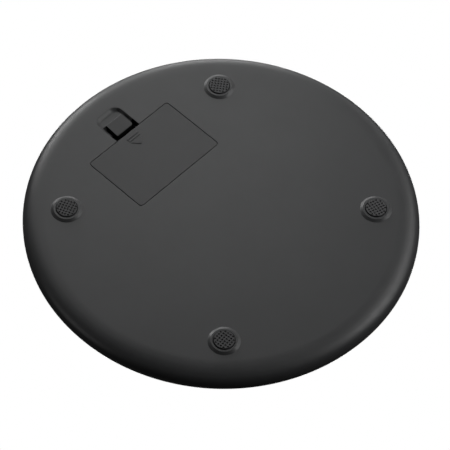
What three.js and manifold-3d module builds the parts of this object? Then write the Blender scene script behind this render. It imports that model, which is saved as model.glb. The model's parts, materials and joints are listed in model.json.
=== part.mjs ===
// A round digital bathroom scale: glass platform, two-part casing, four load-cell feet,
// battery bay with a latched door, display and electronics.
// Millimetres, +Z up. The origin is on the floor, under the middle of the scale.
// +Y is the display side, -Y the battery door side.

import * as THREE from 'three';
import { mergeVertices } from 'three/addons/utils/BufferGeometryUtils.js';
import Module from 'manifold-3d';

const wasm = await Module();
wasm.setup();

// ---------------------------------------------------------------- driving dimensions

const BODY_R = 165; // widest radius of the casing
const BODY_H = 27.5; // floor to the top of the glass
const FLAT_Z = 2.5; // flat underside above the floor
const WALL = 2.2; // thickness of the bottom shell
const FLOOR_Z = FLAT_Z + WALL; // inside floor of the bottom shell
const EDGE_ARCS = [[54, 7], [29, 9], [18, 14], [10.5, 20], [9, 22], [6, 18]]; // rolled edge: radius, degrees
const RIM_Z = 14.9; // top of the bottom shell's wall
const GAP = 0.3; // parting line and other small clearances
const BODY_STEPS = 48; // facets round the casing

const PLATE_Z = 19.8; // underside of the top frame's plate
const PLATE_TOP = 21.3;
const GLASS_Z = 21.9;
const GLASS_R = 155.5;
const GLASS_EDGE = 0.9; // chamfer round the glass

const FOOT_RING_R = 128.1; // circle through the feet
const FOOT_TRAVEL = 0.8; // how far a foot hangs down when the scale is lifted
const COLLAR_R = 13.4; // the shell's collar round a foot, at the flat underside
const LAND_R = 11.2; // flat ring at the end of the collar
const LAND_Z = 1;
const FOOT_HOLE_R = 9.45;
const PAD_R = 8.5;
const PAD_TOP = 2.6;
const HOLDER_R = 8.3; // stem that carries the rubber pad
const HOLDER_FLANGE_R = 16.5;
const HOLDER_TOP = 8.6;
const CELL_HALF = 15; // load cell plate, half its side
const CELL_CORNER = 6;
const CELL_T = 2;
const BRACKET_IN = 18.2;
const BRACKET_OUT = 21.2;
const BRACKET_FOOT_Z = FLOOR_Z + 0.35;
const BRACKET_TOP = 14.2;
const FOOT_STEPS = 20;

const BAY_X = 0.8; // middle of the battery bay
const BAY_HALF_X = 46.3; // seat of the door, half its width
const BAY_IN_Y = -48.7; // edge of the seat nearest the middle of the scale
const BAY_OUT_Y = -111.1; // edge of the seat nearest the rim
const BAY_CORNER = 3;
const BAY_LEDGE = 1.8; // ledge that the door rests against, at its two ends
const BAY_END = 2.9; // the same at its two long sides
const BAY_ROOF = 19.6;
const HOUSING_WALL = 2; // thickness of the walls inside the shell
const NOTCH_CEILING = 10.3; // opening from the latch's well into the bay, for the door's arms
const LUG_SLOT_TOP = 8.7;
const DOOR_GAP = 0.5;
const DOOR_T = 2;
const LUG_X = 30; // hinge lugs either side of the bay's middle
const LUG_HALF = 4;
const LUG_REACH = 3.5; // how far a lug reaches past the door's seat

const SWITCH_WALL_X = 23.2; // wall between the cells and the unit switch, from the bay's middle
const SWITCH_CEILING = 11;
const BUTTON_X = 34.7;
const BUTTON_Y = -80;
const BUTTON_R = 4;
const BUTTON_Z = 8;
const SWITCH_BOARD_Z = 19.1;

const AA_R = 7.25;
const AA_LENGTH = 50.5;
const AA_PITCH = 16.2;
const AA_FIRST_X = -34.5; // first cell, from the bay's middle
const AA_Z = FLOOR_Z + 0.2 + AA_R;

const POCKET_HALF = 13.2; // finger pocket of the latch
const POCKET_END_Y = -139.8;
const POCKET_CORNER = 8;
const POCKET_CEILING = 11.3;
const SCOOP_DEPTH = 2.3; // dished finger scoop, at its rim side
const SCOOP_SLOPE = 2.4; // run of its sloping wall
const SCOOP_LIP_DEPTH = 2.15; // the same scoop beside the latch
const WELL_END_Y = -130.2; // where the scoop meets the deep well round the latch
const WELL_WIDE_Y = -119; // from here to the door the well takes the pocket's whole width
const WELL_CORNER = 1.2;
const WELL_FLOOR = 8.5;
const CATCH_Z = 7.1; // the latch's nose reaches in above the shell's lip
const LATCH_LOW_X_IN = -7.8; // the latch widens a little towards the door, on one side
const LATCH_LOW_X_OUT = -7.3;
const LATCH_HIGH_X = 10.5;
const LATCH_X = 1.35; // middle of the two guide arms
const LATCH_IN_Y = -115;
const LATCH_OUT_Y = -129.4;
const LATCH_NOSE_Y = -129.6;
const LATCH_TOP = 9.8;
const WING_IN_Y = -112.6; // the latch's wings, which ride on the door's arms
const WING_OUT_Y = -120.6;
const WING_Z = 8.6;
const ARM_X = 10.7; // guide arms of the door, which carry the latch
const ARM_HALF = 1.1;

const ARROW_HALF = 6.2; // raised arrow on the door: two bars and a triangle
const ARROW_RISE = 0.5;
const ARROW_BARS_Y = [[-106.6, -105.3], [-104.05, -102.75]];
const ARROW_BASE_Y = -101.4;
const ARROW_TIP_Y = -94.9;

const LCD_Y = 104; // middle of the display
const LCD_HALF_X = 35;
const LCD_HALF_Y = 16;
const PCB_HALF_X = 52;
const PCB_Y = [80, 126];
const PCB_Z = 10.2;
const PCB_T = 1.6;
const PCB_SCREWS = [[-48, 84], [48, 84], [-48, 122], [48, 122]];

const FRAME_SCREW_R = 140; // circle through the frame screws
const FRAME_SCREW_COUNT = 6;
const FRAME_BOSS_TOP = 17;
const FRAME_HEAD_Z = 19.3; // seat of a frame screw's head

// ---------------------------------------------------------------- materials

function finish(color, roughness, metalness = 0) {
  return new THREE.MeshStandardMaterial({ color, roughness, metalness });
}

const DARK_ABS = finish(0x46474a, 0.62);
const BLACK_ABS = finish(0x2a2b2d, 0.6);
const WHITE_ABS = finish(0xd9d9d4, 0.5);
const BLACK_GLASS = finish(0x101214, 0.08);
const LCD_GLASS = finish(0x8d9a86, 0.15);
const RUBBER = finish(0x1d1e20, 0.85);
const FOAM = finish(0x3a3a3c, 0.95);
const STEEL = finish(0xa9abae, 0.35, 1);
const ZINC_SCREW = finish(0xb9b6a8, 0.3, 1);
const BOARD = finish(0x1f5a37, 0.5);
const EPOXY = finish(0x121212, 0.4);
const CELL_JACKET = finish(0x8f9398, 0.35, 0.6);
const RED_WIRE = finish(0xa3211d, 0.5);

// ---------------------------------------------------------------- shape helpers

// Drops everything but positions, joins shared corners and removes collapsed triangles.
function closed(geometry) {
  const bare = geometry.clone();
  bare.deleteAttribute('normal');
  bare.deleteAttribute('uv');
  const merged = mergeVertices(bare);
  const corners = merged.index.array;
  const kept = [];
  for (let i = 0; i < corners.length; i += 3) {
    const [a, b, c] = corners.slice(i, i + 3);
    if (a !== b && b !== c && c !== a) kept.push(a, b, c);
  }
  merged.setIndex(kept);
  return merged;
}

function toSolid(geometry) {
  const { attributes, index } = closed(geometry);
  const vertProperties = new Float32Array(attributes.position.array);
  const triVerts = new Uint32Array(index.array);
  return new wasm.Manifold(new wasm.Mesh({ numProp: 3, vertProperties, triVerts }));
}

function toGeometry(solid) {
  const { vertProperties, triVerts } = solid.getMesh();
  const geometry = new THREE.BufferGeometry();
  geometry.setAttribute('position', new THREE.BufferAttribute(new Float32Array(vertProperties), 3));
  geometry.setIndex(new THREE.BufferAttribute(new Uint32Array(triVerts), 1));
  return geometry;
}

function join(solid, ...geometries) {
  return geometries.reduce((sum, geometry) => sum.add(toSolid(geometry)), solid);
}

function cut(solid, ...geometries) {
  return geometries.reduce((rest, geometry) => rest.subtract(toSolid(geometry)), solid);
}

// A body turned about Z from a profile of [radius, height] points, run anticlockwise.
function turned(profile, steps) {
  const points = profile.map(([r, z]) => new THREE.Vector2(r, z));
  return new THREE.LatheGeometry(points, steps).rotateX(Math.PI / 2);
}

// A turned ring: its profile closes on itself.
function ring(profile, steps) {
  return turned([...profile, profile[0]], steps);
}

function cylinder(radius, z0, z1, x = 0, y = 0, steps = 12) {
  const profile = [[0, z0], [radius, z0], [radius, z1], [0, z1]];
  return turned(profile, steps).translate(x, y, 0);
}

function block(x0, x1, y0, y1, z0, z1) {
  const size = new THREE.BoxGeometry(x1 - x0, y1 - y0, z1 - z0);
  return size.translate((x0 + x1) / 2, (y0 + y1) / 2, (z0 + z1) / 2);
}

// Points [radius, height] along an arc; angles in degrees, 0 outward and 90 up.
function arc(centreR, centreZ, radius, from, to, steps) {
  return Array.from({ length: steps + 1 }, (_, i) => {
    const angle = THREE.MathUtils.degToRad(from + ((to - from) * i) / steps);
    return [centreR + radius * Math.cos(angle), centreZ + radius * Math.sin(angle)];
  });
}

function roundedRect(x0, x1, y0, y1, corner) {
  const shape = new THREE.Shape();
  shape.absarc(x1 - corner, y1 - corner, corner, 0, Math.PI / 2);
  shape.absarc(x0 + corner, y1 - corner, corner, Math.PI / 2, Math.PI);
  shape.absarc(x0 + corner, y0 + corner, corner, Math.PI, 1.5 * Math.PI);
  shape.absarc(x1 - corner, y0 + corner, corner, 1.5 * Math.PI, 2 * Math.PI);
  shape.closePath();
  return shape;
}

function slab(shape, z0, z1, curveSegments = 2) {
  const options = { depth: z1 - z0, bevelEnabled: false, curveSegments };
  return new THREE.ExtrudeGeometry(shape, options).translate(0, 0, z0);
}

// A bar along X whose section is a polygon of [y, z] points.
function bar(section, x0, x1) {
  const shape = new THREE.Shape(section.map(([y, z]) => new THREE.Vector2(y, z)));
  const geometry = new THREE.ExtrudeGeometry(shape, { depth: x1 - x0, bevelEnabled: false });
  geometry.rotateY(Math.PI / 2).rotateX(Math.PI / 2);
  return geometry.translate(x0, 0, 0);
}

// A round wire along a smooth curve through its points.
function wire(points, radius, steps, sides = 6) {
  const curve = new THREE.CatmullRomCurve3(points.map((p) => new THREE.Vector3(...p)));
  const section = new THREE.Shape();
  for (let i = 0; i < sides; i += 1) {
    const angle = (2 * Math.PI * i) / sides;
    const place = i === 0 ? 'moveTo' : 'lineTo';
    section[place](radius * Math.cos(angle), radius * Math.sin(angle));
  }
  return new THREE.ExtrudeGeometry(section, { steps, extrudePath: curve, bevelEnabled: false });
}

const scale = new THREE.Group();

function place(name, geometry, material, x = 0, y = 0, z = 0) {
  const mesh = new THREE.Mesh(closed(geometry), material.clone());
  mesh.name = name;
  mesh.position.set(x, y, z);
  scale.add(mesh);
}

function placeSolid(name, solid, material) {
  place(name, toGeometry(solid), material);
}

// ---------------------------------------------------------------- where things repeat

const FEET = [
  { name: 'front_right', angle: 45 },
  { name: 'front_left', angle: 135 },
  { name: 'rear_left', angle: 225 },
  { name: 'rear_right', angle: 315 },
].map((foot) => {
  const angle = THREE.MathUtils.degToRad(foot.angle);
  const x = FOOT_RING_R * Math.cos(angle);
  const y = FOOT_RING_R * Math.sin(angle);
  return { ...foot, x, y };
});

const FRAME_SCREWS = Array.from({ length: FRAME_SCREW_COUNT }, (_, i) => {
  const angle = (2 * Math.PI * i) / FRAME_SCREW_COUNT;
  return [FRAME_SCREW_R * Math.cos(angle), FRAME_SCREW_R * Math.sin(angle)];
});

// ---------------------------------------------------------------- bottom shell

// Outline of the finger pocket: square at the door, round at its rim side.
function pocketOutline(grow) {
  const x0 = BAY_X - POCKET_HALF - grow;
  const x1 = BAY_X + POCKET_HALF + grow;
  const y0 = POCKET_END_Y - grow;
  const corner = POCKET_CORNER + grow;
  const shape = new THREE.Shape();
  shape.moveTo(x1, BAY_OUT_Y);
  shape.lineTo(x0, BAY_OUT_Y);
  shape.absarc(x0 + corner, y0 + corner, corner, Math.PI, 1.5 * Math.PI);
  shape.absarc(x1 - corner, y0 + corner, corner, 1.5 * Math.PI, 2 * Math.PI);
  shape.closePath();
  return shape;
}

// The finger scoop: sloping walls all round, and a floor that rises a little towards the latch.
function fingerScoop() {
  const below = 1;
  const options = {
    depth: below,
    bevelThickness: SCOOP_DEPTH,
    bevelSize: SCOOP_SLOPE,
    bevelOffset: -SCOOP_SLOPE,
    bevelSegments: 1,
    curveSegments: 3,
  };
  const dish = new THREE.ExtrudeGeometry(pocketOutline(0), options).translate(0, 0, FLAT_Z - below);
  const floor = [
    [POCKET_END_Y - 1, FLAT_Z - below - 1],
    [POCKET_END_Y - 1, FLAT_Z + SCOOP_DEPTH],
    [POCKET_END_Y + SCOOP_SLOPE + 1, FLAT_Z + SCOOP_DEPTH],
    [WELL_END_Y, FLAT_Z + SCOOP_LIP_DEPTH],
    [WELL_END_Y + WELL_CORNER, FLAT_Z + SCOOP_LIP_DEPTH],
    [WELL_END_Y + WELL_CORNER, FLAT_Z - below - 1],
  ];
  const reach = POCKET_HALF + 1;
  return toSolid(dish).intersect(toSolid(bar(floor, BAY_X - reach, BAY_X + reach)));
}

// The rolled edge's line from the flat to the wall, in ever tighter arcs, moved in by inset.
function rolledEdge(inset, steps) {
  let tilt = 0;
  let r = 0;
  let z = FLAT_Z + inset;
  const line = [[r, z]];
  for (const [radius, sweep] of EDGE_ARCS) {
    for (let i = 0; i < steps; i += 1) {
      const from = THREE.MathUtils.degToRad(tilt);
      const to = THREE.MathUtils.degToRad(tilt + sweep / steps);
      r += (radius - inset) * (Math.sin(to) - Math.sin(from));
      z += (radius - inset) * (Math.cos(from) - Math.cos(to));
      tilt += sweep / steps;
      line.push([r, z]);
    }
  }
  const wallR = BODY_R - inset;
  return line.map(([x, y]) => [wallR - r + x, y]);
}

// The deep well round the latch: between the pocket's slopes, and as wide as the pocket at the door.
function latchWells(below) {
  const narrow = POCKET_HALF - SCOOP_SLOPE;
  const narrowWell = roundedRect(BAY_X - narrow, BAY_X + narrow, WELL_END_Y, WELL_WIDE_Y + 2, WELL_CORNER);
  return [
    slab(narrowWell, below, WELL_FLOOR, 3),
    block(BAY_X - POCKET_HALF, BAY_X + POCKET_HALF, WELL_WIDE_Y, BAY_OUT_Y + 0.01, below, WELL_FLOOR),
    block(LATCH_LOW_X_IN - 0.6, LATCH_HIGH_X + 0.6, WELL_END_Y, BAY_OUT_Y - 0.5, below, POCKET_CEILING),
  ];
}

// The shell rises in a cone round each foot, to a flat land.
function collar({ x, y }) {
  const profile = [
    [0, LAND_Z],
    [LAND_R, LAND_Z],
    [COLLAR_R, FLAT_Z],
    [COLLAR_R, FLAT_Z + 1],
    [0, FLAT_Z + 1],
  ];
  return turned(profile, FOOT_STEPS).translate(x, y, 0);
}

function bottomShell() {
  const dish = turned(
    [
      [0, FLAT_Z],
      ...rolledEdge(0, 2),
      [BODY_R, RIM_Z],
      [BODY_R - WALL, RIM_Z],
      ...rolledEdge(WALL, 1).reverse(),
      [0, FLOOR_Z],
    ],
    BODY_STEPS,
  );
  const below = FLAT_Z - 1;
  const sunk = FLOOR_Z - 0.6;
  const bayX0 = BAY_X - BAY_HALF_X + BAY_LEDGE;
  const bayX1 = BAY_X + BAY_HALF_X - BAY_LEDGE;
  const bayY0 = BAY_OUT_Y + BAY_END;
  const bayY1 = BAY_IN_Y - BAY_END;
  const wallX = BAY_X + SWITCH_WALL_X;
  const outerX0 = bayX0 - HOUSING_WALL;
  const outerX1 = bayX1 + HOUSING_WALL;
  const outerY0 = bayY0 - 3.1;
  const outerY1 = bayY1 + 3.1;

  let shell = join(
    toSolid(dish),
    block(outerX0, wallX + HOUSING_WALL, outerY0, outerY1, sunk, BAY_ROOF + 1),
    block(wallX, outerX1, outerY0, outerY1, sunk, SWITCH_CEILING + HOUSING_WALL),
    slab(pocketOutline(HOUSING_WALL), sunk, POCKET_CEILING + 1.5),
    ...FEET.map(collar),
    ...FRAME_SCREWS.map(([x, y]) => cylinder(3.6, sunk, FRAME_BOSS_TOP, x, y)),
    ...PCB_SCREWS.map(([x, y]) => cylinder(3, sunk, PCB_Z - 0.2, x, y)),
    ...[-1, 1].map((side) => {
      const x = BAY_X + BUTTON_X + 6 * side;
      return cylinder(1.6, SWITCH_CEILING + 1, SWITCH_BOARD_Z - 0.2, x, BUTTON_Y + 8 * side);
    }),
  );

  const seat = roundedRect(BAY_X - BAY_HALF_X, BAY_X + BAY_HALF_X, BAY_OUT_Y, BAY_IN_Y, BAY_CORNER);
  const wingWell = block(
    BAY_X - POCKET_HALF,
    BAY_X + POCKET_HALF,
    WING_OUT_Y - 0.6,
    BAY_OUT_Y + 0.01,
    WELL_FLOOR - 0.5,
    POCKET_CEILING,
  );
  const catchSlot = block(
    LATCH_LOW_X_IN - 0.6,
    LATCH_HIGH_X + 0.6,
    WELL_END_Y - 2.5,
    WELL_END_Y + 1,
    CATCH_Z,
    POCKET_CEILING,
  );
  const notchHalf = ARM_X + 1.8;
  shell = cut(
    shell,
    slab(seat, below, FLOOR_Z),
    block(bayX0, wallX, bayY0, bayY1, below, BAY_ROOF),
    block(wallX + HOUSING_WALL, bayX1, bayY0, bayY1, below, SWITCH_CEILING),
    ...latchWells(below),
    wingWell,
    catchSlot,
    block(LATCH_X - notchHalf, LATCH_X + notchHalf, BAY_OUT_Y - 0.5, bayY0 + 0.5, FLAT_Z, NOTCH_CEILING),
    cylinder(BUTTON_R + 0.4, SWITCH_CEILING - 1, SWITCH_CEILING + 3, BAY_X + BUTTON_X, BUTTON_Y),
    ...[-1, 1].map((side) =>
      block(
        BAY_X + LUG_X * side - LUG_HALF - 0.6,
        BAY_X + LUG_X * side + LUG_HALF + 0.6,
        bayY1 - 0.5,
        outerY1 + 0.5,
        FLOOR_Z,
        LUG_SLOT_TOP,
      ),
    ),
    ...FEET.map(({ x, y }) => cylinder(FOOT_HOLE_R, LAND_Z - 1, FLOOR_Z + 1, x, y, FOOT_STEPS)),
    ...FRAME_SCREWS.map(([x, y]) => cylinder(1.7, FLOOR_Z + 1.6, FRAME_BOSS_TOP + 1, x, y)),
    ...PCB_SCREWS.map(([x, y]) => cylinder(1.5, FLOOR_Z + 1, PCB_Z + 1, x, y)),
  );
  placeSolid('bottom_shell', shell.subtract(fingerScoop()), DARK_ABS);
}

// ---------------------------------------------------------------- battery door and latch

// The raised arrow shows which way to pull the latch and the door.
function arrow() {
  const z0 = FLAT_Z - ARROW_RISE;
  const z1 = FLAT_Z + 0.3;
  const head = new THREE.Shape();
  head.moveTo(BAY_X - ARROW_HALF, ARROW_BASE_Y);
  head.lineTo(BAY_X + ARROW_HALF, ARROW_BASE_Y);
  head.lineTo(BAY_X, ARROW_TIP_Y);
  head.closePath();
  const bars = ARROW_BARS_Y.map(([y0, y1]) => {
    return block(BAY_X - ARROW_HALF, BAY_X + ARROW_HALF, y0, y1, z0, z1);
  });
  return [slab(head, z0, z1), ...bars];
}

function batteryDoor() {
  const outline = roundedRect(
    BAY_X - BAY_HALF_X + DOOR_GAP,
    BAY_X + BAY_HALF_X - DOOR_GAP,
    BAY_OUT_Y + DOOR_GAP,
    BAY_IN_Y - DOOR_GAP,
    BAY_CORNER - DOOR_GAP,
  );
  const top = FLAT_Z + DOOR_T;
  // Each lug reaches over the shell's edge, and the door turns about that edge.
  const lug = [
    [BAY_IN_Y - 5, top - 0.4],
    [BAY_IN_Y - 0.7, top - 0.4],
    [BAY_IN_Y - 0.7, top + 0.5],
    [BAY_IN_Y + LUG_REACH, top + 0.5],
    [BAY_IN_Y + LUG_REACH, top + 1.8],
    [BAY_IN_Y - 5, top + 1.8],
  ];
  // Each arm stands on the door's rim side and reaches out under the latch's wings.
  const edge = BAY_OUT_Y + DOOR_GAP;
  const armZ = WING_Z - 0.3;
  const arm = [
    [edge, top - 0.6],
    [edge + 1.6, top - 0.6],
    [edge + 1.6, armZ],
    [edge - 4.6, armZ],
    [edge - 4.6, armZ - 1.4],
    [edge, armZ - 1.4],
  ];
  const door = join(
    toSolid(slab(outline, FLAT_Z, top, 3)),
    ...arrow(),
    ...[-1, 1].map((side) => {
      const x = BAY_X + LUG_X * side;
      return bar(lug, x - LUG_HALF, x + LUG_HALF);
    }),
    ...[-1, 1].map((side) => {
      const x = LATCH_X + ARM_X * side;
      return bar(arm, x - ARM_HALF, x + ARM_HALF);
    }),
  );
  placeSolid('battery_door', door, DARK_ABS);
}

function batteryDoorLatch() {
  const section = [
    [LATCH_IN_Y, FLAT_Z + 0.1],
    [LATCH_IN_Y, LATCH_TOP],
    [LATCH_NOSE_Y + 1.2, LATCH_TOP],
    [LATCH_NOSE_Y, LATCH_TOP - 0.8],
    [LATCH_NOSE_Y, CATCH_Z + 0.4],
    [LATCH_OUT_Y + 0.7, CATCH_Z - 0.8],
    [LATCH_OUT_Y, FLAT_Z - 0.2],
  ];
  const bevel = 1.5;
  const face = new THREE.Shape();
  face.moveTo(LATCH_LOW_X_OUT, LATCH_NOSE_Y - 1);
  face.lineTo(LATCH_HIGH_X, LATCH_NOSE_Y - 1);
  face.lineTo(LATCH_HIGH_X, LATCH_IN_Y - bevel);
  face.lineTo(LATCH_HIGH_X - bevel, LATCH_IN_Y);
  face.lineTo(LATCH_LOW_X_IN + bevel, LATCH_IN_Y);
  face.lineTo(LATCH_LOW_X_IN, LATCH_IN_Y - bevel);
  face.closePath();
  const body = toSolid(slab(face, 0, LATCH_TOP)).intersect(
    toSolid(bar(section, LATCH_LOW_X_IN - 1, LATCH_HIGH_X + 1)),
  );
  const wings = [
    [LATCH_X - ARM_X - ARM_HALF, LATCH_LOW_X_OUT + 0.5],
    [LATCH_HIGH_X - 0.5, LATCH_X + ARM_X + ARM_HALF],
  ].map(([x0, x1]) => block(x0, x1, WING_OUT_Y, WING_IN_Y, WING_Z, LATCH_TOP));
  const latch = cut(
    join(body, ...wings),
    block(
      LATCH_LOW_X_OUT + 1.4,
      LATCH_HIGH_X - 1.4,
      LATCH_OUT_Y + 2.4,
      LATCH_IN_Y - 1.4,
      FLAT_Z + 1.9,
      LATCH_TOP + 1,
    ),
  );
  placeSolid('battery_door_latch', latch, DARK_ABS);
}

// ---------------------------------------------------------------- cells and contacts

const CONTACT_T = 0.5;
const CONTACT_HIGH = BAY_IN_Y - BAY_END - 0.1; // the end wall nearest the scale's middle
const CONTACT_LOW = BAY_OUT_Y + BAY_END + 0.1; // the end wall nearest the rim
const CONTACT_HALF_Z = 4.6;
const CONTACT_HALF_X = 5.5;
const SPRING_REACH = 3.4;
const STUD_REACH = 0.9;
const SPRING = [[0, -0.3], [4.4, -0.3], [4.4, 0.8], [2.6, SPRING_REACH], [0, SPRING_REACH]];
const STUD = [[0, -0.3], [2.6, -0.3], [2.6, 0.5], [1.8, STUD_REACH], [0, STUD_REACH]];

function cellX(index) {
  return BAY_X + AA_FIRST_X + AA_PITCH * index;
}

// Cells lie side by side, every other one turned round.
function cells() {
  const nub = 1.2;
  const shoulder = AA_LENGTH - nub;
  const profile = [
    [0, 0],
    [AA_R - 0.6, 0],
    [AA_R, 0.6],
    [AA_R, shoulder - 0.7],
    [AA_R - 0.7, shoulder],
    [2.75, shoulder],
    [2.75, AA_LENGTH],
    [0, AA_LENGTH],
  ];
  for (let i = 0; i < 4; i += 1) {
    const plusInward = i % 2 === 0;
    const body = turned(profile, 16).rotateX(plusInward ? -Math.PI / 2 : Math.PI / 2);
    const minusY = plusInward
      ? CONTACT_LOW + CONTACT_T + SPRING_REACH + 0.2
      : CONTACT_HIGH - CONTACT_T - SPRING_REACH - 0.2;
    place(`battery_${i + 1}`, body.translate(cellX(i), minusY, AA_Z), CELL_JACKET);
  }
}

// A sheet contact on one end wall: side is +1 for the wall nearest the scale's middle.
function contact(name, side, springs, studs) {
  const wallY = side > 0 ? CONTACT_HIGH : CONTACT_LOW;
  const faceY = wallY - side * CONTACT_T;
  const centres = [...springs, ...studs].map(cellX);
  const plate = block(
    Math.min(...centres) - CONTACT_HALF_X,
    Math.max(...centres) + CONTACT_HALF_X,
    Math.min(wallY, faceY),
    Math.max(wallY, faceY),
    AA_Z - CONTACT_HALF_Z,
    AA_Z + CONTACT_HALF_Z,
  );
  const raised = (index, profile) =>
    turned(profile, 12)
      .rotateX((side * Math.PI) / 2)
      .translate(cellX(index), faceY, AA_Z);
  const solid = join(
    toSolid(plate),
    ...springs.map((index) => raised(index, SPRING)),
    ...studs.map((index) => raised(index, STUD)),
  );
  placeSolid(name, solid, STEEL);
}

function contacts() {
  contact('contact_positive', 1, [], [0]);
  contact('contact_bridge_1', -1, [0], [1]);
  contact('contact_bridge_2', 1, [1], [2]);
  contact('contact_bridge_3', -1, [2], [3]);
  contact('contact_negative', 1, [3], []);
}

// ---------------------------------------------------------------- unit switch

function unitSwitch() {
  const x = BAY_X + BUTTON_X;
  const flangeZ = SWITCH_CEILING + HOUSING_WALL + GAP;
  const button = turned(
    [
      [0, BUTTON_Z],
      [BUTTON_R - 0.5, BUTTON_Z],
      [BUTTON_R, BUTTON_Z + 0.5],
      [BUTTON_R, flangeZ],
      [BUTTON_R + 2, flangeZ],
      [BUTTON_R + 2, flangeZ + 1],
      [0, flangeZ + 1],
    ],
    20,
  );
  place('unit_button', button, WHITE_ABS, x, BUTTON_Y);
  const bodyZ = SWITCH_BOARD_Z - 3.7;
  const stem = cylinder(1.7, bodyZ - 0.5, bodyZ + 1, x, BUTTON_Y);
  const body = toSolid(block(x - 3, x + 3, BUTTON_Y - 3, BUTTON_Y + 3, bodyZ, SWITCH_BOARD_Z - 0.2));
  placeSolid('unit_switch', join(body, stem), BLACK_ABS);
  const board = block(x - 8, x + 8, BUTTON_Y - 10, BUTTON_Y + 10, SWITCH_BOARD_Z, SWITCH_BOARD_Z + 1.2);
  place('unit_switch_board', board, BOARD);
}

// ---------------------------------------------------------------- feet and load cells

function foot({ name, angle, x, y }) {
  const flangeZ = FLOOR_Z + GAP + FOOT_TRAVEL;
  const holder = turned(
    [
      [0, PAD_TOP + 0.1],
      [HOLDER_R, PAD_TOP + 0.1],
      [HOLDER_R, flangeZ],
      [HOLDER_FLANGE_R, flangeZ],
      [HOLDER_FLANGE_R, HOLDER_TOP],
      [0, HOLDER_TOP],
    ],
    FOOT_STEPS,
  );
  place(`foot_holder_${name}`, holder, DARK_ABS, x, y);

  const pad = turned([[0, 0], [PAD_R - 0.5, 0], [PAD_R, 0.5], [PAD_R, PAD_TOP], [0, PAD_TOP]], FOOT_STEPS);
  place(`foot_pad_${name}`, pad, RUBBER, x, y);

  // The steel plate is slotted so that its middle tongue can bend.
  const cellZ = HOLDER_TOP + 0.1;
  const outline = new THREE.Shape();
  const near = CELL_HALF - CELL_CORNER;
  const corners = [
    [CELL_HALF, near], [near, CELL_HALF], [-near, CELL_HALF], [-CELL_HALF, near],
    [-CELL_HALF, -near], [-near, -CELL_HALF], [near, -CELL_HALF], [CELL_HALF, -near],
  ];
  outline.setFromPoints(corners.map(([u, v]) => new THREE.Vector2(u, v)));
  const plate = cut(
    toSolid(slab(outline, cellZ, cellZ + CELL_T)),
    block(-9.5, -7.5, -7, 7, cellZ - 1, cellZ + CELL_T + 1),
    block(7.5, 9.5, -7, 7, cellZ - 1, cellZ + CELL_T + 1),
    block(-9, 9, 7, 9, cellZ - 1, cellZ + CELL_T + 1),
  );
  place(`load_cell_${name}`, toGeometry(plate), STEEL, x, y);

  // The bracket stands on the shell's floor, and its middle boss bears on the load cell.
  const bossZ = cellZ + CELL_T + 0.1;
  const bracket = turned(
    [
      [0, bossZ],
      [4, bossZ],
      [4, bossZ + 0.6],
      [BRACKET_IN, bossZ + 0.6],
      [BRACKET_IN, BRACKET_FOOT_Z],
      [BRACKET_OUT, BRACKET_FOOT_Z],
      [BRACKET_OUT, BRACKET_TOP],
      [0, BRACKET_TOP],
    ],
    FOOT_STEPS,
  );
  const towardBoard = angle < 180 ? { u: Math.sign(-x), v: 0 } : { u: 0, v: 1 };
  const exit = block(BRACKET_IN - 2, BRACKET_OUT + 2, -2.2, 2.2, FLOOR_Z + 0.05, 11.4);
  exit.rotateZ(Math.atan2(towardBoard.v, towardBoard.u));
  place(`load_cell_bracket_${name}`, toGeometry(cut(toSolid(bracket), exit)), BLACK_ABS, x, y);

  // The cell's wires run over the shell's floor to the main board.
  const start = [x + 17.2 * towardBoard.u, y + 17.2 * towardBoard.v];
  const front = [
    [...start, 8.3],
    [x + 22 * towardBoard.u, y, 8.1],
    [Math.sign(x) * 60, 95, 7.2],
    [Math.sign(x) * 47, 100, 8.4],
    [Math.sign(x) * 38, 102, 8.5],
  ];
  const rear = [
    [...start, 8.3],
    [x, y + 22, 8.1],
    [Math.sign(x) * 92, -40, 7.2],
    [Math.sign(x) * 84, 20, 7.2],
    [Math.sign(x) * 56, 64, 7.2],
    [Math.sign(x) * 36, 84, 8.4],
    [Math.sign(x) * 33, 95, 8.5],
  ];
  const route = angle < 180 ? front : rear;
  place(`load_cell_cable_${name}`, wire(route, 1.3, 3 * route.length), BLACK_ABS);
}

// ---------------------------------------------------------------- display and electronics

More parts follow.
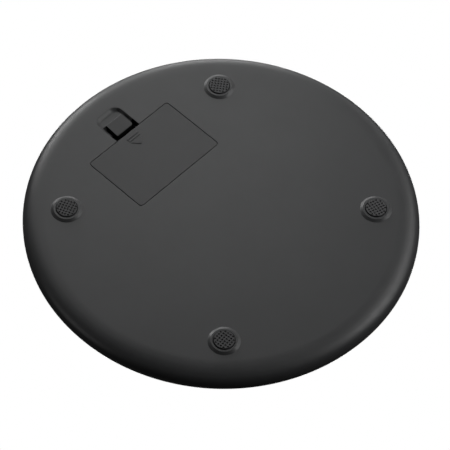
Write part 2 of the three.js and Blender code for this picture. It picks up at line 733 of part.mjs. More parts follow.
function display() {
  const pcbTop = PCB_Z + PCB_T;
  const y0 = LCD_Y - LCD_HALF_Y;
  const y1 = LCD_Y + LCD_HALF_Y;
  const ledgeZ = 15.2;
  const pcb = cut(
    toSolid(slab(roundedRect(-PCB_HALF_X, PCB_HALF_X, ...PCB_Y, 2), PCB_Z, pcbTop)),
    ...PCB_SCREWS.map(([x, y]) => cylinder(1.6, PCB_Z - 1, pcbTop + 1, x, y)),
  );
  placeSolid('main_pcb', pcb, BOARD);
  const blob = [[0, 0], [6, 0], [5.2, 0.8], [3.4, 1.3], [0, 1.5]];
  place('controller_blob', turned(blob, 20), EPOXY, 12, LCD_Y + 3, pcbTop + 0.05);

  PCB_SCREWS.forEach(([x, y], i) => {
    const profile = [
      [0, 7],
      [1.2, 7.6],
      [1.2, pcbTop + 0.1],
      [2.8, pcbTop + 0.1],
      [2.8, pcbTop + 0.9],
      [1.8, pcbTop + 1.7],
      [0, pcbTop + 1.7],
    ];
    place(`pcb_screw_${i + 1}`, turned(profile, 12), ZINC_SCREW, x, y);
  });

  // The holder stands on the board: a rim round the display over a ledge on three sides.
  const rim = 4;
  const holder = cut(
    toSolid(block(-LCD_HALF_X - rim, LCD_HALF_X + rim, y0 - rim, y1 + rim, pcbTop + 0.1, 19.6)),
    block(-LCD_HALF_X - 0.4, LCD_HALF_X + 0.4, y0 - 0.4, y1 + 0.4, ledgeZ + 1.2, 20),
    block(-LCD_HALF_X + 2.5, LCD_HALF_X - 2.5, y0 - 0.4, y1 - 2.5, pcbTop, 20),
  );
  placeSolid('lcd_holder', holder, WHITE_ABS);
  place('lcd_backlight', block(-LCD_HALF_X, LCD_HALF_X, y0 + 5, y1, ledgeZ + 1.3, 18.9), WHITE_ABS);
  place('zebra_strip', block(-30, 30, y0 + 0.8, y0 + 3.6, pcbTop + 0.1, 18.9), RUBBER);
  place('lcd_panel', block(-LCD_HALF_X, LCD_HALF_X, y0, y1, 19, 21.1), LCD_GLASS);
}

function leads() {
  const outside = BAY_IN_Y - BAY_END + 3.1;
  const batteryRoute = [
    [-20, outside + 1.6, 15],
    [-20, outside + 5, 10.5],
    [-16, 0, 7.2],
    [-12, 60, 7.2],
    [-10, 88, 8.5],
  ];
  place('battery_lead', wire(batteryRoute, 1.3, 18), RED_WIRE);
  const x = BAY_X + BUTTON_X;
  const switchRoute = [
    [x, BUTTON_Y + 8, 17.7],
    [x, outside + 1, 16],
    [x - 4, outside + 10, 9],
    [26, 20, 7.2],
    [20, 88, 8.5],
  ];
  place('unit_switch_lead', wire(switchRoute, 1.2, 20), BLACK_ABS);
}

// ---------------------------------------------------------------- top frame and platform

function topFrame() {
  const lipR = BODY_R - WALL - 0.4;
  const frame = turned(
    [
      [0, PLATE_Z],
      [159, PLATE_Z],
      [160.4, 18.4],
      [160.4, 12],
      [lipR, 12],
      [lipR, RIM_Z + GAP],
      [BODY_R - 0.25, RIM_Z + GAP],
      [BODY_R - 0.7, RIM_Z + 1.5],
      [158.4, 24.9],
      [157.4, 26],
      [156.3, 26.3],
      [156, 26],
      [156, PLATE_TOP],
      [0, PLATE_TOP],
    ],
    BODY_STEPS,
  );
  const bayClear = 1.5;
  const lcdClear = 0.5;
  const opened = cut(
    join(toSolid(frame), ...FRAME_SCREWS.map(([x, y]) => cylinder(5, FRAME_BOSS_TOP + GAP, 20.5, x, y))),
    block(
      BAY_X - BAY_HALF_X - bayClear,
      BAY_X + BAY_HALF_X + bayClear,
      BAY_OUT_Y - bayClear,
      BAY_IN_Y + bayClear,
      PLATE_Z - 1,
      PLATE_TOP + 1,
    ),
    block(
      -LCD_HALF_X - lcdClear,
      LCD_HALF_X + lcdClear,
      LCD_Y - LCD_HALF_Y - lcdClear,
      LCD_Y + LCD_HALF_Y + lcdClear,
      PLATE_Z - 1,
      PLATE_TOP + 1,
    ),
    ...FRAME_SCREWS.map(([x, y]) => cylinder(3.8, FRAME_HEAD_Z, PLATE_TOP + 1, x, y)),
    ...FRAME_SCREWS.map(([x, y]) => cylinder(1.9, FRAME_BOSS_TOP - 1, FRAME_HEAD_Z + 1, x, y)),
  );
  placeSolid('top_frame', opened, BLACK_ABS);

  const head = FRAME_HEAD_Z + 0.15;
  FRAME_SCREWS.forEach(([x, y], i) => {
    const profile = [
      [0, 8],
      [1.4, 9.2],
      [1.4, head],
      [3.4, head],
      [3.4, head + 0.9],
      [2.4, head + 1.6],
      [0, head + 1.6],
    ];
    place(`frame_screw_${i + 1}`, turned(profile, 12), ZINC_SCREW, x, y);
  });
}

function platform() {
  const tapeZ = [PLATE_TOP + 0.05, GLASS_Z - 0.05];
  const tape = [
    [146.5, tapeZ[0]],
    [154, tapeZ[0]],
    [154, tapeZ[1]],
    [146.5, tapeZ[1]],
  ];
  place('glass_tape', ring(tape, BODY_STEPS), FOAM);
  const glass = turned(
    [
      [0, GLASS_Z],
      [GLASS_R - 0.4, GLASS_Z],
      [GLASS_R, GLASS_Z + 0.4],
      [GLASS_R, BODY_H - GLASS_EDGE],
      [GLASS_R - GLASS_EDGE, BODY_H],
      [0, BODY_H],
    ],
    BODY_STEPS,
  );
  place('platform_glass', glass, BLACK_GLASS);
}

// ---------------------------------------------------------------- the scale

bottomShell();
batteryDoor();
batteryDoorLatch();
cells();
contacts();
unitSwitch();
FEET.forEach(foot);
display();
leads();
topFrame();
platform();

export default scale;
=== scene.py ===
"""A round digital bathroom scale, seen from below, dressed around its CAD frame.

Shapes are written in millimetres in the frame's own axes (+Z up, floor at 0) and turned into
metres when a mesh is made.
"""
import json
import math

import bmesh
import bpy
from mathutils import Matrix, Quaternion, Vector

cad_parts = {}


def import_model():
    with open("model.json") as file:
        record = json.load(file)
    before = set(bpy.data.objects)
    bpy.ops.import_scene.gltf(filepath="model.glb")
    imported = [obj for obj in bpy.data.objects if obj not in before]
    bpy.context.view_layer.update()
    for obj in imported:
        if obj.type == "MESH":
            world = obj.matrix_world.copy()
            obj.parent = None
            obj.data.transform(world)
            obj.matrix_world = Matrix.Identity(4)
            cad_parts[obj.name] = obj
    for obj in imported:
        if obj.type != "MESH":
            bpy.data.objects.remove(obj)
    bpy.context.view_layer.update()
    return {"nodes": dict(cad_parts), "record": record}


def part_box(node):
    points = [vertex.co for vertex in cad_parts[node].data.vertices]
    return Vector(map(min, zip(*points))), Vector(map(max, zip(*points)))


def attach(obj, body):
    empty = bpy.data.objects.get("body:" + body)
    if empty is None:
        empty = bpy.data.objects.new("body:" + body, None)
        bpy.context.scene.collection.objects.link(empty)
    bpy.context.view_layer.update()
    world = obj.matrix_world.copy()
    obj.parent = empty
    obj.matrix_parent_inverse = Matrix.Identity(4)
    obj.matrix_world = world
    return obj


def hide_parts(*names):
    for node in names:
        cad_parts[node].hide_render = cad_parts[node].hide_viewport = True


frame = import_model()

MM = 0.001

# -------- sizes, in millimetres


def node_box(node):
    """Lowest and highest corner of a CAD node, in millimetres."""
    low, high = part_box(node)
    return low / MM, high / MM


def node_middle(node):
    """The middle of a CAD node, in millimetres."""
    low, high = node_box(node)
    return [(low[k] + high[k]) / 2 for k in range(3)]


# The casing. The rolled edge is a row of arcs from the flat outwards: radius, and degrees turned.
BODY_R = node_box("bottom_shell")[1].x
FLAT_Z = 2.5
WALL = 2.2
FLOOR_Z = FLAT_Z + WALL
EDGE_ARCS = ((54, 7), (29, 9), (18, 14), (10.5, 20), (9, 22), (6, 18))
RIM_Z = 14.9
PARTING = 0.3  # gap between the bottom shell and the top frame
AROUND = 256  # faces round a large turned piece
FOOT_AROUND = 96

# The battery bay. OUT is the side towards the rim, IN the side towards the scale's middle.
DOOR_LOW, DOOR_HIGH = node_box("battery_door")
DOOR_GAP = 0.5
DOOR_T = 2.0
DOOR_LIP = 0.28  # rounding of the door's visible edge and of its seat's
BAY_X = (DOOR_LOW.x + DOOR_HIGH.x) / 2
BAY_HALF_X = (DOOR_HIGH.x - DOOR_LOW.x) / 2 + DOOR_GAP
BAY_OUT_Y = -111.1
BAY_IN_Y = -48.7
BAY_MID_Y = (BAY_OUT_Y + BAY_IN_Y) / 2
BAY_HALF_Y = (BAY_IN_Y - BAY_OUT_Y) / 2
BAY_CORNER = 3.0
BAY_ROOF = 19.6
BAY_ROOF_T = 1.0
HOUSING_WALL = 2.0
HOUSING_SUNK = 0.6  # how far the housings' walls reach into the shell's floor
SWITCH_WALL_X = BAY_X + 23.2
SWITCH_CEILING = 11.0
BUTTON_HOLE_R = 4.4
BUTTON_HOLE_Z = (9, 15)
RIB_LENGTH = 9.0
RIB_HALF = 0.55
RIB_FROM_CELL = 0.85
RIB_Z = 13.5

# The space for the cells and the switch, inside the ledges that the door lies on.
SPACE_LOW_X = BAY_X - BAY_HALF_X + 1.8
SPACE_HIGH_X = BAY_X + BAY_HALF_X - 1.8
SPACE_OUT_Y = BAY_OUT_Y + 2.9
SPACE_IN_Y = BAY_IN_Y - 2.9
SPACE_CORNER = 1.2
SPACE_END_WALL = 3.1
SWITCH_LOW_X = SWITCH_WALL_X + HOUSING_WALL

# The door's two lugs, which hook over the shell's edge.
LUG_X = 30.0
LUG_HALF = 4.0
LUG_REACH = 3.5
LUG_CLEAR = 0.6
LUG_SLOT_TOP = 8.7

# The finger pocket: a shallow scoop with a ramp at its end, and a deep well round the latch.
POCKET_HALF = 13.2
POCKET_END_Y = -139.8
POCKET_MOUTH_Y = BAY_OUT_Y + 0.3
POCKET_CORNER = 8.0
POCKET_CEILING = 11.3
POCKET_ROOF_T = 1.5
SIDE_RUN = 1.6
SIDE_ROUNDINGS = (0.6, 1.2)
RAMP_START = -0.2
RAMP_TILT = 34
RAMP_DEPTH = 2.3
RAMP_ROUNDINGS = (2.4, 3.6)
RAMP_STEPS = 40
WELL_END_Y = -130.2
WELL_WIDE_Y = -119.0
WELL_IN_Y = -115.0
WELL_HALF = 10.8
WELL_CORNER = 7.0
WELL_FLOOR = 8.5
CATCH_Z = 7.1
CATCH_CLEAR = 0.59
NOTCH_HALF = 12.5
NOTCH_CEILING = 10.3

# Where the painted shade on the pocket's right and left slope begins, as the photo shows it.
SHADE_RIGHT_Y = -136.0
SHADE_LEFT_Y = -126.6

# The heights at which the shell's, the door's and the latch's walls round the latch turn to painted
# shade, near black.
SHELL_SHADE_Z, DOOR_SHADE_Z, LATCH_SHADE_Z = FLAT_Z + 0.4, FLAT_Z + 0.5, FLAT_Z + 1.2

# The latch: a block, a wing on each side of it and an arm on the door behind each wing.
LATCH_X = 1.35
LATCH_LOW_X_IN = -7.8
LATCH_LOW_X_OUT = -7.3
LATCH_HIGH_X = 10.5
LATCH_IN_Y = -115.0
LATCH_OUT_Y = -129.4
LATCH_NOSE_Y = -129.6
LATCH_TOP = 9.8
LATCH_CLEAR = 0.6
LOW_CLEAR = 0.3
WING_IN_Y = -112.6
WING_OUT_Y = -120.6
WING_Z = 8.6
ARM_X = 10.7
ARM_HALF = 1.1

# The raised arrow on the door.
ARROW_BARS_Y = ((-106.6, -105.3), (-104.05, -102.75))
ARROW_BASE_Y = -101.4
ARROW_TIP_Y = -94.9
ARROW_HALF = 6.2
ARROW_RISE = 0.5
ARROW_LIP = 0.08

# The feet, each with the angle in degrees at which the photo shows its pad's lattice.
FEET = {"front_right": 15.5, "front_left": 82.8, "rear_left": 67.8, "rear_right": 53.8}
COLLAR_R = 13.4
LAND_R = 10.9
LAND_Z = 1.0
FOOT_HOLE_R = 9.05
FOOT_HOLE_LIP = 0.25
PAD_R = 8.5
PAD_TOP = 2.6
HOLDER_R = 8.3
FLANGE_R = 16.5
FLANGE_Z = FLOOR_Z + 1.1
HOLDER_TOP = 8.6
PIT_PITCH = 2.57
PIT_SIZE = 1.6
PIT_DEPTH = 0.9
PIT_TAPER = 0.2
PIT_MARGIN = 0.5  # a pit's centre stays this far inside the pad's edge

# The contacts and their springs.
SHEET_T = 0.5
SPRING_WIRE_R = 0.32
SPRING_TURNS = 3.5
SPRING_RADII = (4.3, 2.4)
SPRING_HEIGHT = 3.35

# The top side.
GLASS_LOW, GLASS_HIGH = node_box("platform_glass")
GLASS_R = GLASS_HIGH.x
PLATE_Z = 19.8
PLATE_TOP = 21.3
LCD_LOW, LCD_HIGH = node_box("lcd_panel")
LCD_X = (LCD_LOW.x + LCD_HIGH.x) / 2
LCD_Y = (LCD_LOW.y + LCD_HIGH.y) / 2
WINDOW_HALF = (31.0, 12.5)

# Cutters start at BELOW and run OVERLAP into what they meet. SKEW keeps their faces off one plane.
BELOW = LAND_Z - 1
OVERLAP = 0.5
SKEW = 0.01

# -------- mesh helpers

scene = bpy.context.scene
ON_AXIS = 1e-6
LEAST_RADIUS = 0.02
CUT_OUT = 2  # how far a cutter reaches out of the mouth it makes


def edit(mesh, change):
    """Changes a mesh through a function of its bmesh."""
    shape = bmesh.new()
    shape.from_mesh(mesh)
    change(shape)
    shape.to_mesh(mesh)
    shape.free()


def face_outwards(shape):
    bmesh.ops.recalc_face_normals(shape, faces=shape.faces)


def make(name, points, faces):
    """A mesh object from points in millimetres, with its faces pointing out."""
    mesh = bpy.data.meshes.new(name)
    mesh.from_pydata([Vector(p) * MM for p in points], [], faces)
    edit(mesh, face_outwards)
    obj = bpy.data.objects.new(name, mesh)
    scene.collection.objects.link(obj)
    return obj


def rounded(corners, closed=True, steps=6):
    """The line through corners (u, v, radius), with each corner rounded to its radius."""
    count = len(corners)
    line = []
    for i, (u, v, radius) in enumerate(corners):
        at = Vector((u, v))
        open_end = not closed and i in (0, count - 1)
        if radius <= 0 or open_end:
            line.append((u, v))
            continue
        before = (Vector(corners[i - 1][:2]) - at).normalized()
        after = (Vector(corners[(i + 1) % count][:2]) - at).normalized()
        half = before.angle(after) / 2
        start = at + before * radius / math.tan(half)
        centre = at + (before + after).normalized() * radius / math.sin(half)
        turn = before.angle_signed(after)
        sweep = math.copysign(math.pi - 2 * half, turn)
        for k in range(steps + 1):
            arm = start - centre
            arm.rotate(Matrix.Rotation(sweep * k / steps, 2))
            line.append(tuple(centre + arm))
    return line


def bridge(low, high, count):
    """Four-sided faces between two rings of the same count, given by their first indices."""
    faces = []
    for k in range(count):
        n = (k + 1) % count
        faces.append([low + k, low + n, high + n, high + k])
    return faces


def lathe(name, line, around=64, at=(0, 0)):
    """A body turned about Z from a line of (radius, z), which ends on the axis or closes."""
    points, rings = [], []
    for r, z in line:
        if r < ON_AXIS:
            rings.append([len(points)])
            points.append((at[0], at[1], z))
            continue
        rings.append(list(range(len(points), len(points) + around)))
        for k in range(around):
            angle = 2 * math.pi * k / around
            points.append((at[0] + r * math.cos(angle), at[1] + r * math.sin(angle), z))
    faces = []
    pairs = list(zip(rings, rings[1:]))
    if len(rings[0]) > 1:
        pairs.append((rings[-1], rings[0]))
    for low, high in pairs:
        for k in range(around):
            n = (k + 1) % around
            face = [ring[i % len(ring)] for ring, i in ((low, k), (low, n), (high, n), (high, k))]
            faces.append(list(dict.fromkeys(face)))
    return make(name, points, faces)


def stack(name, rings):
    """A closed body from rings of points, each ring with the same count, ends capped flat."""
    count = len(rings[0])
    points = [p for ring in rings for p in ring]
    faces = [list(range(count)), list(range(len(points) - count, len(points)))]
    for level in range(len(rings) - 1):
        faces += bridge(level * count, (level + 1) * count, count)
    return make(name, points, faces)


def prism(name, outline, z0, z1):
    """An upright body with one outline from one height to another."""
    return stack(name, [[(x, y, z) for x, y in outline] for z in (z0, z1)])


def layers(name, outline, levels):
    """An upright body from (height, offset) levels of an outline function."""
    return stack(name, [[(x, y, z) for x, y in outline(grow)] for z, grow in levels])


def block(name, low, high):
    """A box between two corners."""
    x0, y0, z0 = low
    x1, y1, z1 = high
    return prism(name, [(x0, y0), (x1, y0), (x1, y1), (x0, y1)], z0, z1)


def bar(name, section, x0, x1):
    """A bar along X from a section of (y, z) points."""
    return stack(name, [[(x, y, z) for y, z in section] for x in (x0, x1)])


def edge_steps(lip, steps=4):
    """(height, offset) pairs down a rounded edge of radius lip."""
    pairs = []
    for k in range(steps + 1):
        h = lip * k / steps
        pairs.append((h, lip - math.sqrt(max(lip * lip - (lip - h) ** 2, 0))))
    return pairs


def recess(name, outline, top, lip, mouth):
    """A cutter that opens downwards at the height of its mouth, with a rounded edge there."""
    edge = [(mouth + h, grow) for h, grow in edge_steps(lip)]
    return layers(name, outline, [(mouth - CUT_OUT, lip), *edge, (top, 0)])


def plate(name, outline, z0, z1, lip_low, lip_high):
    """A slab with rounded edges round its lower and upper face."""
    low_edge = [(z0 + h, -inset) for h, inset in edge_steps(lip_low)]
    high_edge = [(z1 - h, -inset) for h, inset in reversed(edge_steps(lip_high))]
    return layers(name, outline, low_edge + high_edge)


def rectangle(mid_x, mid_y, half_x, half_y, corner, steps=8):
    """The outline function of a rounded rectangle, which grows by an offset."""
    def outline(grow=0):
        points = []
        r = max(corner + grow, LEAST_RADIUS)
        for quarter, (sx, sy) in enumerate(((1, 1), (-1, 1), (-1, -1), (1, -1))):
            cx = mid_x + sx * (half_x + grow - r)
            cy = mid_y + sy * (half_y + grow - r)
            for k in range(steps + 1):
                angle = (quarter + k / steps) * math.pi / 2
                points.append((cx + r * math.cos(angle), cy + r * math.sin(angle)))
        return points
    return outline


def circle(x, y, radius, steps):
    """The outline function of a circle."""
    def outline(grow=0):
        r = radius + grow
        angles = [2 * math.pi * k / steps for k in range(steps)]
        return [(x + r * math.cos(angle), y + r * math.sin(angle)) for angle in angles]
    return outline


def applied(obj):
    """Replaces an object's mesh by what its modifiers make of it."""
    bpy.context.view_layer.update()
    graph = bpy.context.evaluated_depsgraph_get()
    mesh = bpy.data.meshes.new_from_object(obj.evaluated_get(graph))
    obj.modifiers.clear()
    obj.data = mesh
    return obj


def combine(obj, others, operation):
    """Joins other bodies to obj, cuts them from it or keeps what is common, and removes them."""
    for other in others:
        change = obj.modifiers.new("combine", "BOOLEAN")
        change.operation = operation
        change.solver = "EXACT"
        change.object = other
        applied(obj)
        bpy.data.objects.remove(other)
    return obj


def cut(obj, *others):
    return combine(obj, others, "DIFFERENCE")


def join(obj, *others):
    return combine(obj, others, "UNION")


def merge_meshes(obj, extra):
    """Puts a second body's mesh into obj's mesh."""
    edit(obj.data, lambda shape: shape.from_mesh(extra.data))
    bpy.data.objects.remove(extra)


def bevelled(obj, width, segments=3):
    """Rounds every sharp edge of a simple body."""
    change = obj.modifiers.new("bevel", "BEVEL")
    change.width = width * MM
    change.segments = segments
    change.limit_method = "ANGLE"
    change.angle_limit = math.radians(30)
    return applied(obj)


def smooth(obj):
    """Smooth shading with flat faces kept flat and real corners kept sharp."""
    obj.data.shade_smooth()
    obj.data.set_sharp_from_angle(angle=math.radians(35))
    obj.modifiers.new("normals", "WEIGHTED_NORMAL").keep_sharp = True


def finish_piece(obj, body, slot, replaces=(), material=None):
    """Shades a piece, gives it its slot's material and its body."""
    smooth(obj)
    obj.data.materials.clear()
    obj.data.materials.append(material or LOOKS[slot])
    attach(obj, body)
    if replaces:
        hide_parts(*replaces)


def within(point, low, high):
    """True where a mesh's point lies inside a box given in millimetres."""
    return all(low[k] < point[k] / MM < high[k] for k in range(3))


def paint_shade(obj, material, low, high):
    """Gives the faces whose middles lie within a box a darker material, as painted shade."""
    materials = obj.data.materials
    if material.name not in materials:
        materials.append(material)
    index = materials.find(material.name)
    for face in obj.data.polygons:
        if within(face.center, low, high):
            face.material_index = index


def split_along_y(obj, y, low, high):
    """Splits the faces whose middles lie within a box along a plane across Y."""
    def change(shape):
        faces = [f for f in shape.faces if within(f.calc_center_median(), low, high)]
        edges = {e for f in faces for e in f.edges}
        verts = {v for f in faces for v in f.verts}
        bmesh.ops.bisect_plane(shape, geom=[*verts, *edges, *faces], dist=1e-6,
                               plane_co=Vector((0, y, 0)) * MM, plane_no=Vector((0, 1, 0)))
    edit(obj.data, change)


# -------- materials

NOISE_LOW, NOISE_HIGH = 0.3, 0.7  # between these lie most of a noise texture's values
PATCH_SCALE = 18  # of the patches in which colour wanders
GLOSS_SCALE = PATCH_SCALE * 9
COARSE_GRAIN = 0.35  # the coarse grain's scale, as a share of the fine grain's


class Nodes:
    """A node tree, with short calls for what this script needs."""

    def __init__(self, tree, coordinates):
        self.tree = tree
        self.place = self.add("ShaderNodeTexCoord").outputs[coordinates]

    def add(self, kind, inputs=None, **settings):
        """A node whose inputs are each given as a value or as another node's output."""
        node = self.tree.nodes.new(kind)
        for key, value in settings.items():
            setattr(node, key, value)
        self.feed(node, inputs or {})
        return node

    def feed(self, node, inputs):
        for key, value in inputs.items():
            if isinstance(value, bpy.types.NodeSocket):
                self.tree.links.new(value, node.inputs[key])
            else:
                node.inputs[key].default_value = value

    def noise(self, scale, detail=2.0, roughness=0.5):
        inputs = {"Vector": self.place, "Scale": scale, "Detail": detail, "Roughness": roughness}
        return self.add("ShaderNodeTexNoise", inputs).outputs["Fac"]

    def cells(self, scale):
        inputs = {"Vector": self.place, "Scale": scale}
        return self.add("ShaderNodeTexVoronoi", inputs).outputs["Distance"]

    def ramp(self, source, dark, light, low=NOISE_LOW, high=NOISE_HIGH):
        """A colour that goes from dark to light while the source goes from low to high."""
        node = self.add("ShaderNodeValToRGB", {"Fac": source})
        for element, position, colour in zip(node.color_ramp.elements, (low, high), (dark, light)):
            element.position = position
            element.color = (*colour, 1)
        return node.outputs["Color"]

    def span(self, source, low, high, from_low=NOISE_LOW, from_high=NOISE_HIGH, **settings):
        """A value that goes from low to high while the source does so too, and stops there."""
        inputs = {"Value": source, "From Min": from_low, "From Max": from_high,
                  "To Min": low, "To Max": high}
        return self.add("ShaderNodeMapRange", inputs, **settings).outputs["Result"]

    def bump(self, height, strength, depth, below=None):
        """A normal, bumped by a height of some depth in millimetres, over another normal."""
        inputs = {"Height": height, "Strength": strength, "Distance": depth * MM}
        if below:
            inputs["Normal"] = below
        return self.add("ShaderNodeBump", inputs).outputs["Normal"]

    def blend(self, share, first, second):
        """A mix of two shaders."""
        node = self.add("ShaderNodeMixShader", {"Fac": share, 1: first, 2: second})
        return node.outputs["Shader"]

    def calculate(self, operation, first, second):
        node = self.add("ShaderNodeMath", {0: first, 1: second}, operation=operation)
        return node.outputs["Value"]


class Surface(Nodes):
    """The node tree of a new material."""

    def __init__(self, name):
        self.material = bpy.data.materials.new(name)
        self.material.use_nodes = True
        super().__init__(self.material.node_tree, "Object")
        self.shader = self.tree.nodes["Principled BSDF"]

    def shaded(self, inputs):
        """The material, with its shader's inputs set."""
        self.feed(self.shader, inputs)
        return self.material


def mottled(name, colour, spread, rough, grain, grain_scale, specular=0.5, metallic=0.0):
    """A moulded, plated or rubber surface: colour and gloss that wander, and a fine grain."""
    n = Surface(name)
    darker = tuple(c * (1 - spread) for c in colour)
    lighter = tuple(c * (1 + spread) for c in colour)
    coarse = n.bump(n.noise(grain_scale * COARSE_GRAIN, 2), 0.25, grain)
    return n.shaded({
        "Base Color": n.ramp(n.noise(PATCH_SCALE, 5, 0.6), darker, lighter),
        "Roughness": n.span(n.noise(GLOSS_SCALE, 3), *rough),
        "Metallic": metallic,
        "Specular IOR Level": specular,
        "Normal": n.bump(n.cells(grain_scale), 0.5, grain, coarse),
    })


def glass_material():
    """Clear tempered glass with the faint waviness of its tempering."""
    n = Surface("black_glass")
    return n.shaded({
        "Base Color": (0.93, 0.97, 0.96, 1),
        "Transmission Weight": 1.0,
        "IOR": 1.52,
        "Roughness": n.span(n.noise(40, 3), 0.012, 0.03),
        "Normal": n.bump(n.noise(14, 1), 0.12, 0.008),
    })


def print_material():
    """The black enamel fired on the back of the glass."""
    n = Surface("black_print")
    return n.shaded({
        "Base Color": n.ramp(n.noise(60, 4), (0.006, 0.0065, 0.007), (0.009, 0.0095, 0.01)),
        "Roughness": n.span(n.noise(300, 3), 0.3, 0.4),
    })


def lcd_material():
    """The display's polariser: grey green, with a fine grain."""
    n = Surface("lcd_glass")
    return n.shaded({
        "Base Color": n.ramp(n.noise(50, 2), (0.3, 0.34, 0.27), (0.34, 0.38, 0.305)),
        "Roughness": n.span(n.noise(400, 2), 0.18, 0.26),
        "Normal": n.bump(n.cells(3000), 0.2, 0.004),
    })


def jacket_material():
    """A plain grey cell jacket with fine scuffs."""
    n = Surface("cell_jacket")
    scuffs = n.noise(900, 6, 0.7)
    return n.shaded({
        "Base Color": n.ramp(scuffs, (0.16, 0.17, 0.185), (0.24, 0.25, 0.27), 0.35, 0.75),
        "Roughness": n.span(scuffs, 0.26, 0.42),
        "Metallic": 0.6,
        "Normal": n.bump(scuffs, 0.15, 0.01),
    })


# Colour, how far it wanders, roughness range, the grain's depth in millimetres and its scale, and
# where they aren't the usual ones, specular level and metallic.
MOTTLED = {
    "dark_abs": ((0.058, 0.059, 0.0605), 0.05, (0.38, 0.45), 0.02, 1700),
    "black_abs": ((0.02, 0.0205, 0.0215), 0.08, (0.42, 0.5), 0.015, 1500),
    "white_abs": ((0.72, 0.72, 0.69), 0.03, (0.4, 0.48), 0.012, 1500),
    "pad_rubber": ((0.094, 0.094, 0.096), 0.04, (0.72, 0.8), 0.01, 1900, 0.3),
    "foam_tape": ((0.03, 0.03, 0.032), 0.2, (0.9, 0.97), 0.15, 900, 0.2),
    "plated_steel": ((0.62, 0.62, 0.6), 0.06, (0.24, 0.36), 0.008, 2400, 0.5, 1.0),
    "zinc_screw": ((0.6, 0.58, 0.5), 0.08, (0.28, 0.4), 0.01, 2200, 0.5, 1.0),
    "circuit_board": ((0.015, 0.11, 0.045), 0.12, (0.3, 0.4), 0.02, 900),
    "black_epoxy": ((0.012, 0.012, 0.012), 0.1, (0.16, 0.24), 0.03, 160),
    "wire_jacket": ((0.035, 0.035, 0.037), 0.1, (0.42, 0.52), 0.01, 1600),
}
LOOKS = {slot: mottled(slot, *look) for slot, look in MOTTLED.items()}
LOOKS["black_glass"] = glass_material()
LOOKS["lcd_glass"] = lcd_material()
LOOKS["cell_jacket"] = jacket_material()

# The photo shows the door and the latch a little darker than the shell; the deep faces round the
# latch get painted shade, near black.
DOOR_ABS = mottled("door_abs", (0.0425, 0.0432, 0.0445), 0.04, (0.38, 0.45), 0.02, 1700)
# The latch's darker colour, which is also painted as shade on the pocket's left slope.
LATCH_AND_SLOPE_SHADE_ABS = mottled("latch_and_slope_shade_abs", (0.031, 0.0315, 0.0325), 0.04, (0.38, 0.45), 0.02, 1700)
# A near-black matt material: painted shade for the deep faces round the latch.
PAINTED_SHADE_ABS = mottled("painted_shade_abs", (0.006, 0.006, 0.0065), 0.1, (0.75, 0.85), 0.02, 1200, 0.12)
PRINT = print_material()
SEGMENT = mottled("lcd_segment", (0.018, 0.02, 0.024), 0.1, (0.3, 0.4), 0.004, 2500)


def dress_cad_nodes():
    """Every CAD node that stays visible takes its slot's material."""
    for entry in frame["record"]["subparts"]:
        node = frame["nodes"][entry["node"]]
        node.data.materials.clear()
        node.data.materials.append(LOOKS[entry["material_slot"]])


# -------- bottom shell


def pocket_outline(grow=0, end_grow=None):
    """The finger pocket, open towards the door. Its end may grow by an offset of its own."""
    x0 = BAY_X - POCKET_HALF - grow
    x1 = BAY_X + POCKET_HALF + grow
    y0 = POCKET_END_Y - (grow if end_grow is None else end_grow)
    y1 = POCKET_MOUTH_Y
    corner = POCKET_CORNER + grow
    return rounded([(x1, y1, 0), (x0, y1, 0), (x0, y0, corner), (x1, y0, corner)], steps=24)


def slope_line(start, run, roundings):
    """A slope from the flat down to the ramp's depth, as (how far in, how deep) points."""
    lead = 4
    corners = [
        (start - lead, 0, 0), (start, 0, roundings[0]),
        (start + run, RAMP_DEPTH, roundings[1]), (start + run + lead, RAMP_DEPTH, 0),
    ]
    return rounded(corners, closed=False, steps=16)[1:]


def inset_at(line, depth):
    """How far in a slope's line reaches a depth."""
    pairs = zip(line, line[1:])
    (x0, z0), (x1, z1) = next(pair for pair in pairs if pair[0][1] <= depth <= pair[1][1])
    return x0 + (x1 - x0) * (depth - z0) / (z1 - z0)


def finger_scoop():
    """A shallow dish: steep at its sides, a gentle ramp at its end, its floor almost flat."""
    side = slope_line(0, SIDE_RUN, SIDE_ROUNDINGS)
    end = slope_line(RAMP_START, RAMP_DEPTH / math.tan(math.radians(RAMP_TILT)), RAMP_ROUNDINGS)
    turns = [math.pi * k / RAMP_STEPS for k in range(2, RAMP_STEPS)]
    depths = [RAMP_DEPTH * (1 - math.cos(turn)) / 2 for turn in turns]
    rings = [(inset_at(side, depth), inset_at(end, depth), depth) for depth in depths]
    mouth = (*rings[0][:2], -CUT_OUT)
    return stack("scoop", [[(x, y, FLAT_Z + z) for x, y in pocket_outline(-side_in, -end_in)]
                           for side_in, end_in, z in [mouth, *rings]])


def latch_wells():
    """The deep well round the latch: between the scoop's slopes, and full width at the door."""
    mid_y = (WELL_END_Y + WELL_IN_Y) / 2
    half_y = (WELL_IN_Y - WELL_END_Y) / 2
    well = rectangle(BAY_X, mid_y, WELL_HALF, half_y, WELL_CORNER, 12)
    return [
        prism("well", well(), BELOW, WELL_FLOOR),
        block("wide_well", (BAY_X - POCKET_HALF + SKEW, WELL_WIDE_Y, BELOW - 2 * SKEW),
              (BAY_X + POCKET_HALF - SKEW, BAY_OUT_Y + 0.2, WELL_FLOOR + 2 * SKEW)),
        block("latch_well", (LATCH_LOW_X_OUT - LOW_CLEAR, WELL_END_Y + 2 * SKEW, BELOW - 3 * SKEW),
              (LATCH_HIGH_X + LATCH_CLEAR, BAY_OUT_Y - OVERLAP, POCKET_CEILING)),
        block("wing_well", (BAY_X - POCKET_HALF, WING_OUT_Y - LATCH_CLEAR, WELL_FLOOR - OVERLAP),
              (BAY_X + POCKET_HALF, BAY_OUT_Y + 0.1, POCKET_CEILING - SKEW)),
    ]


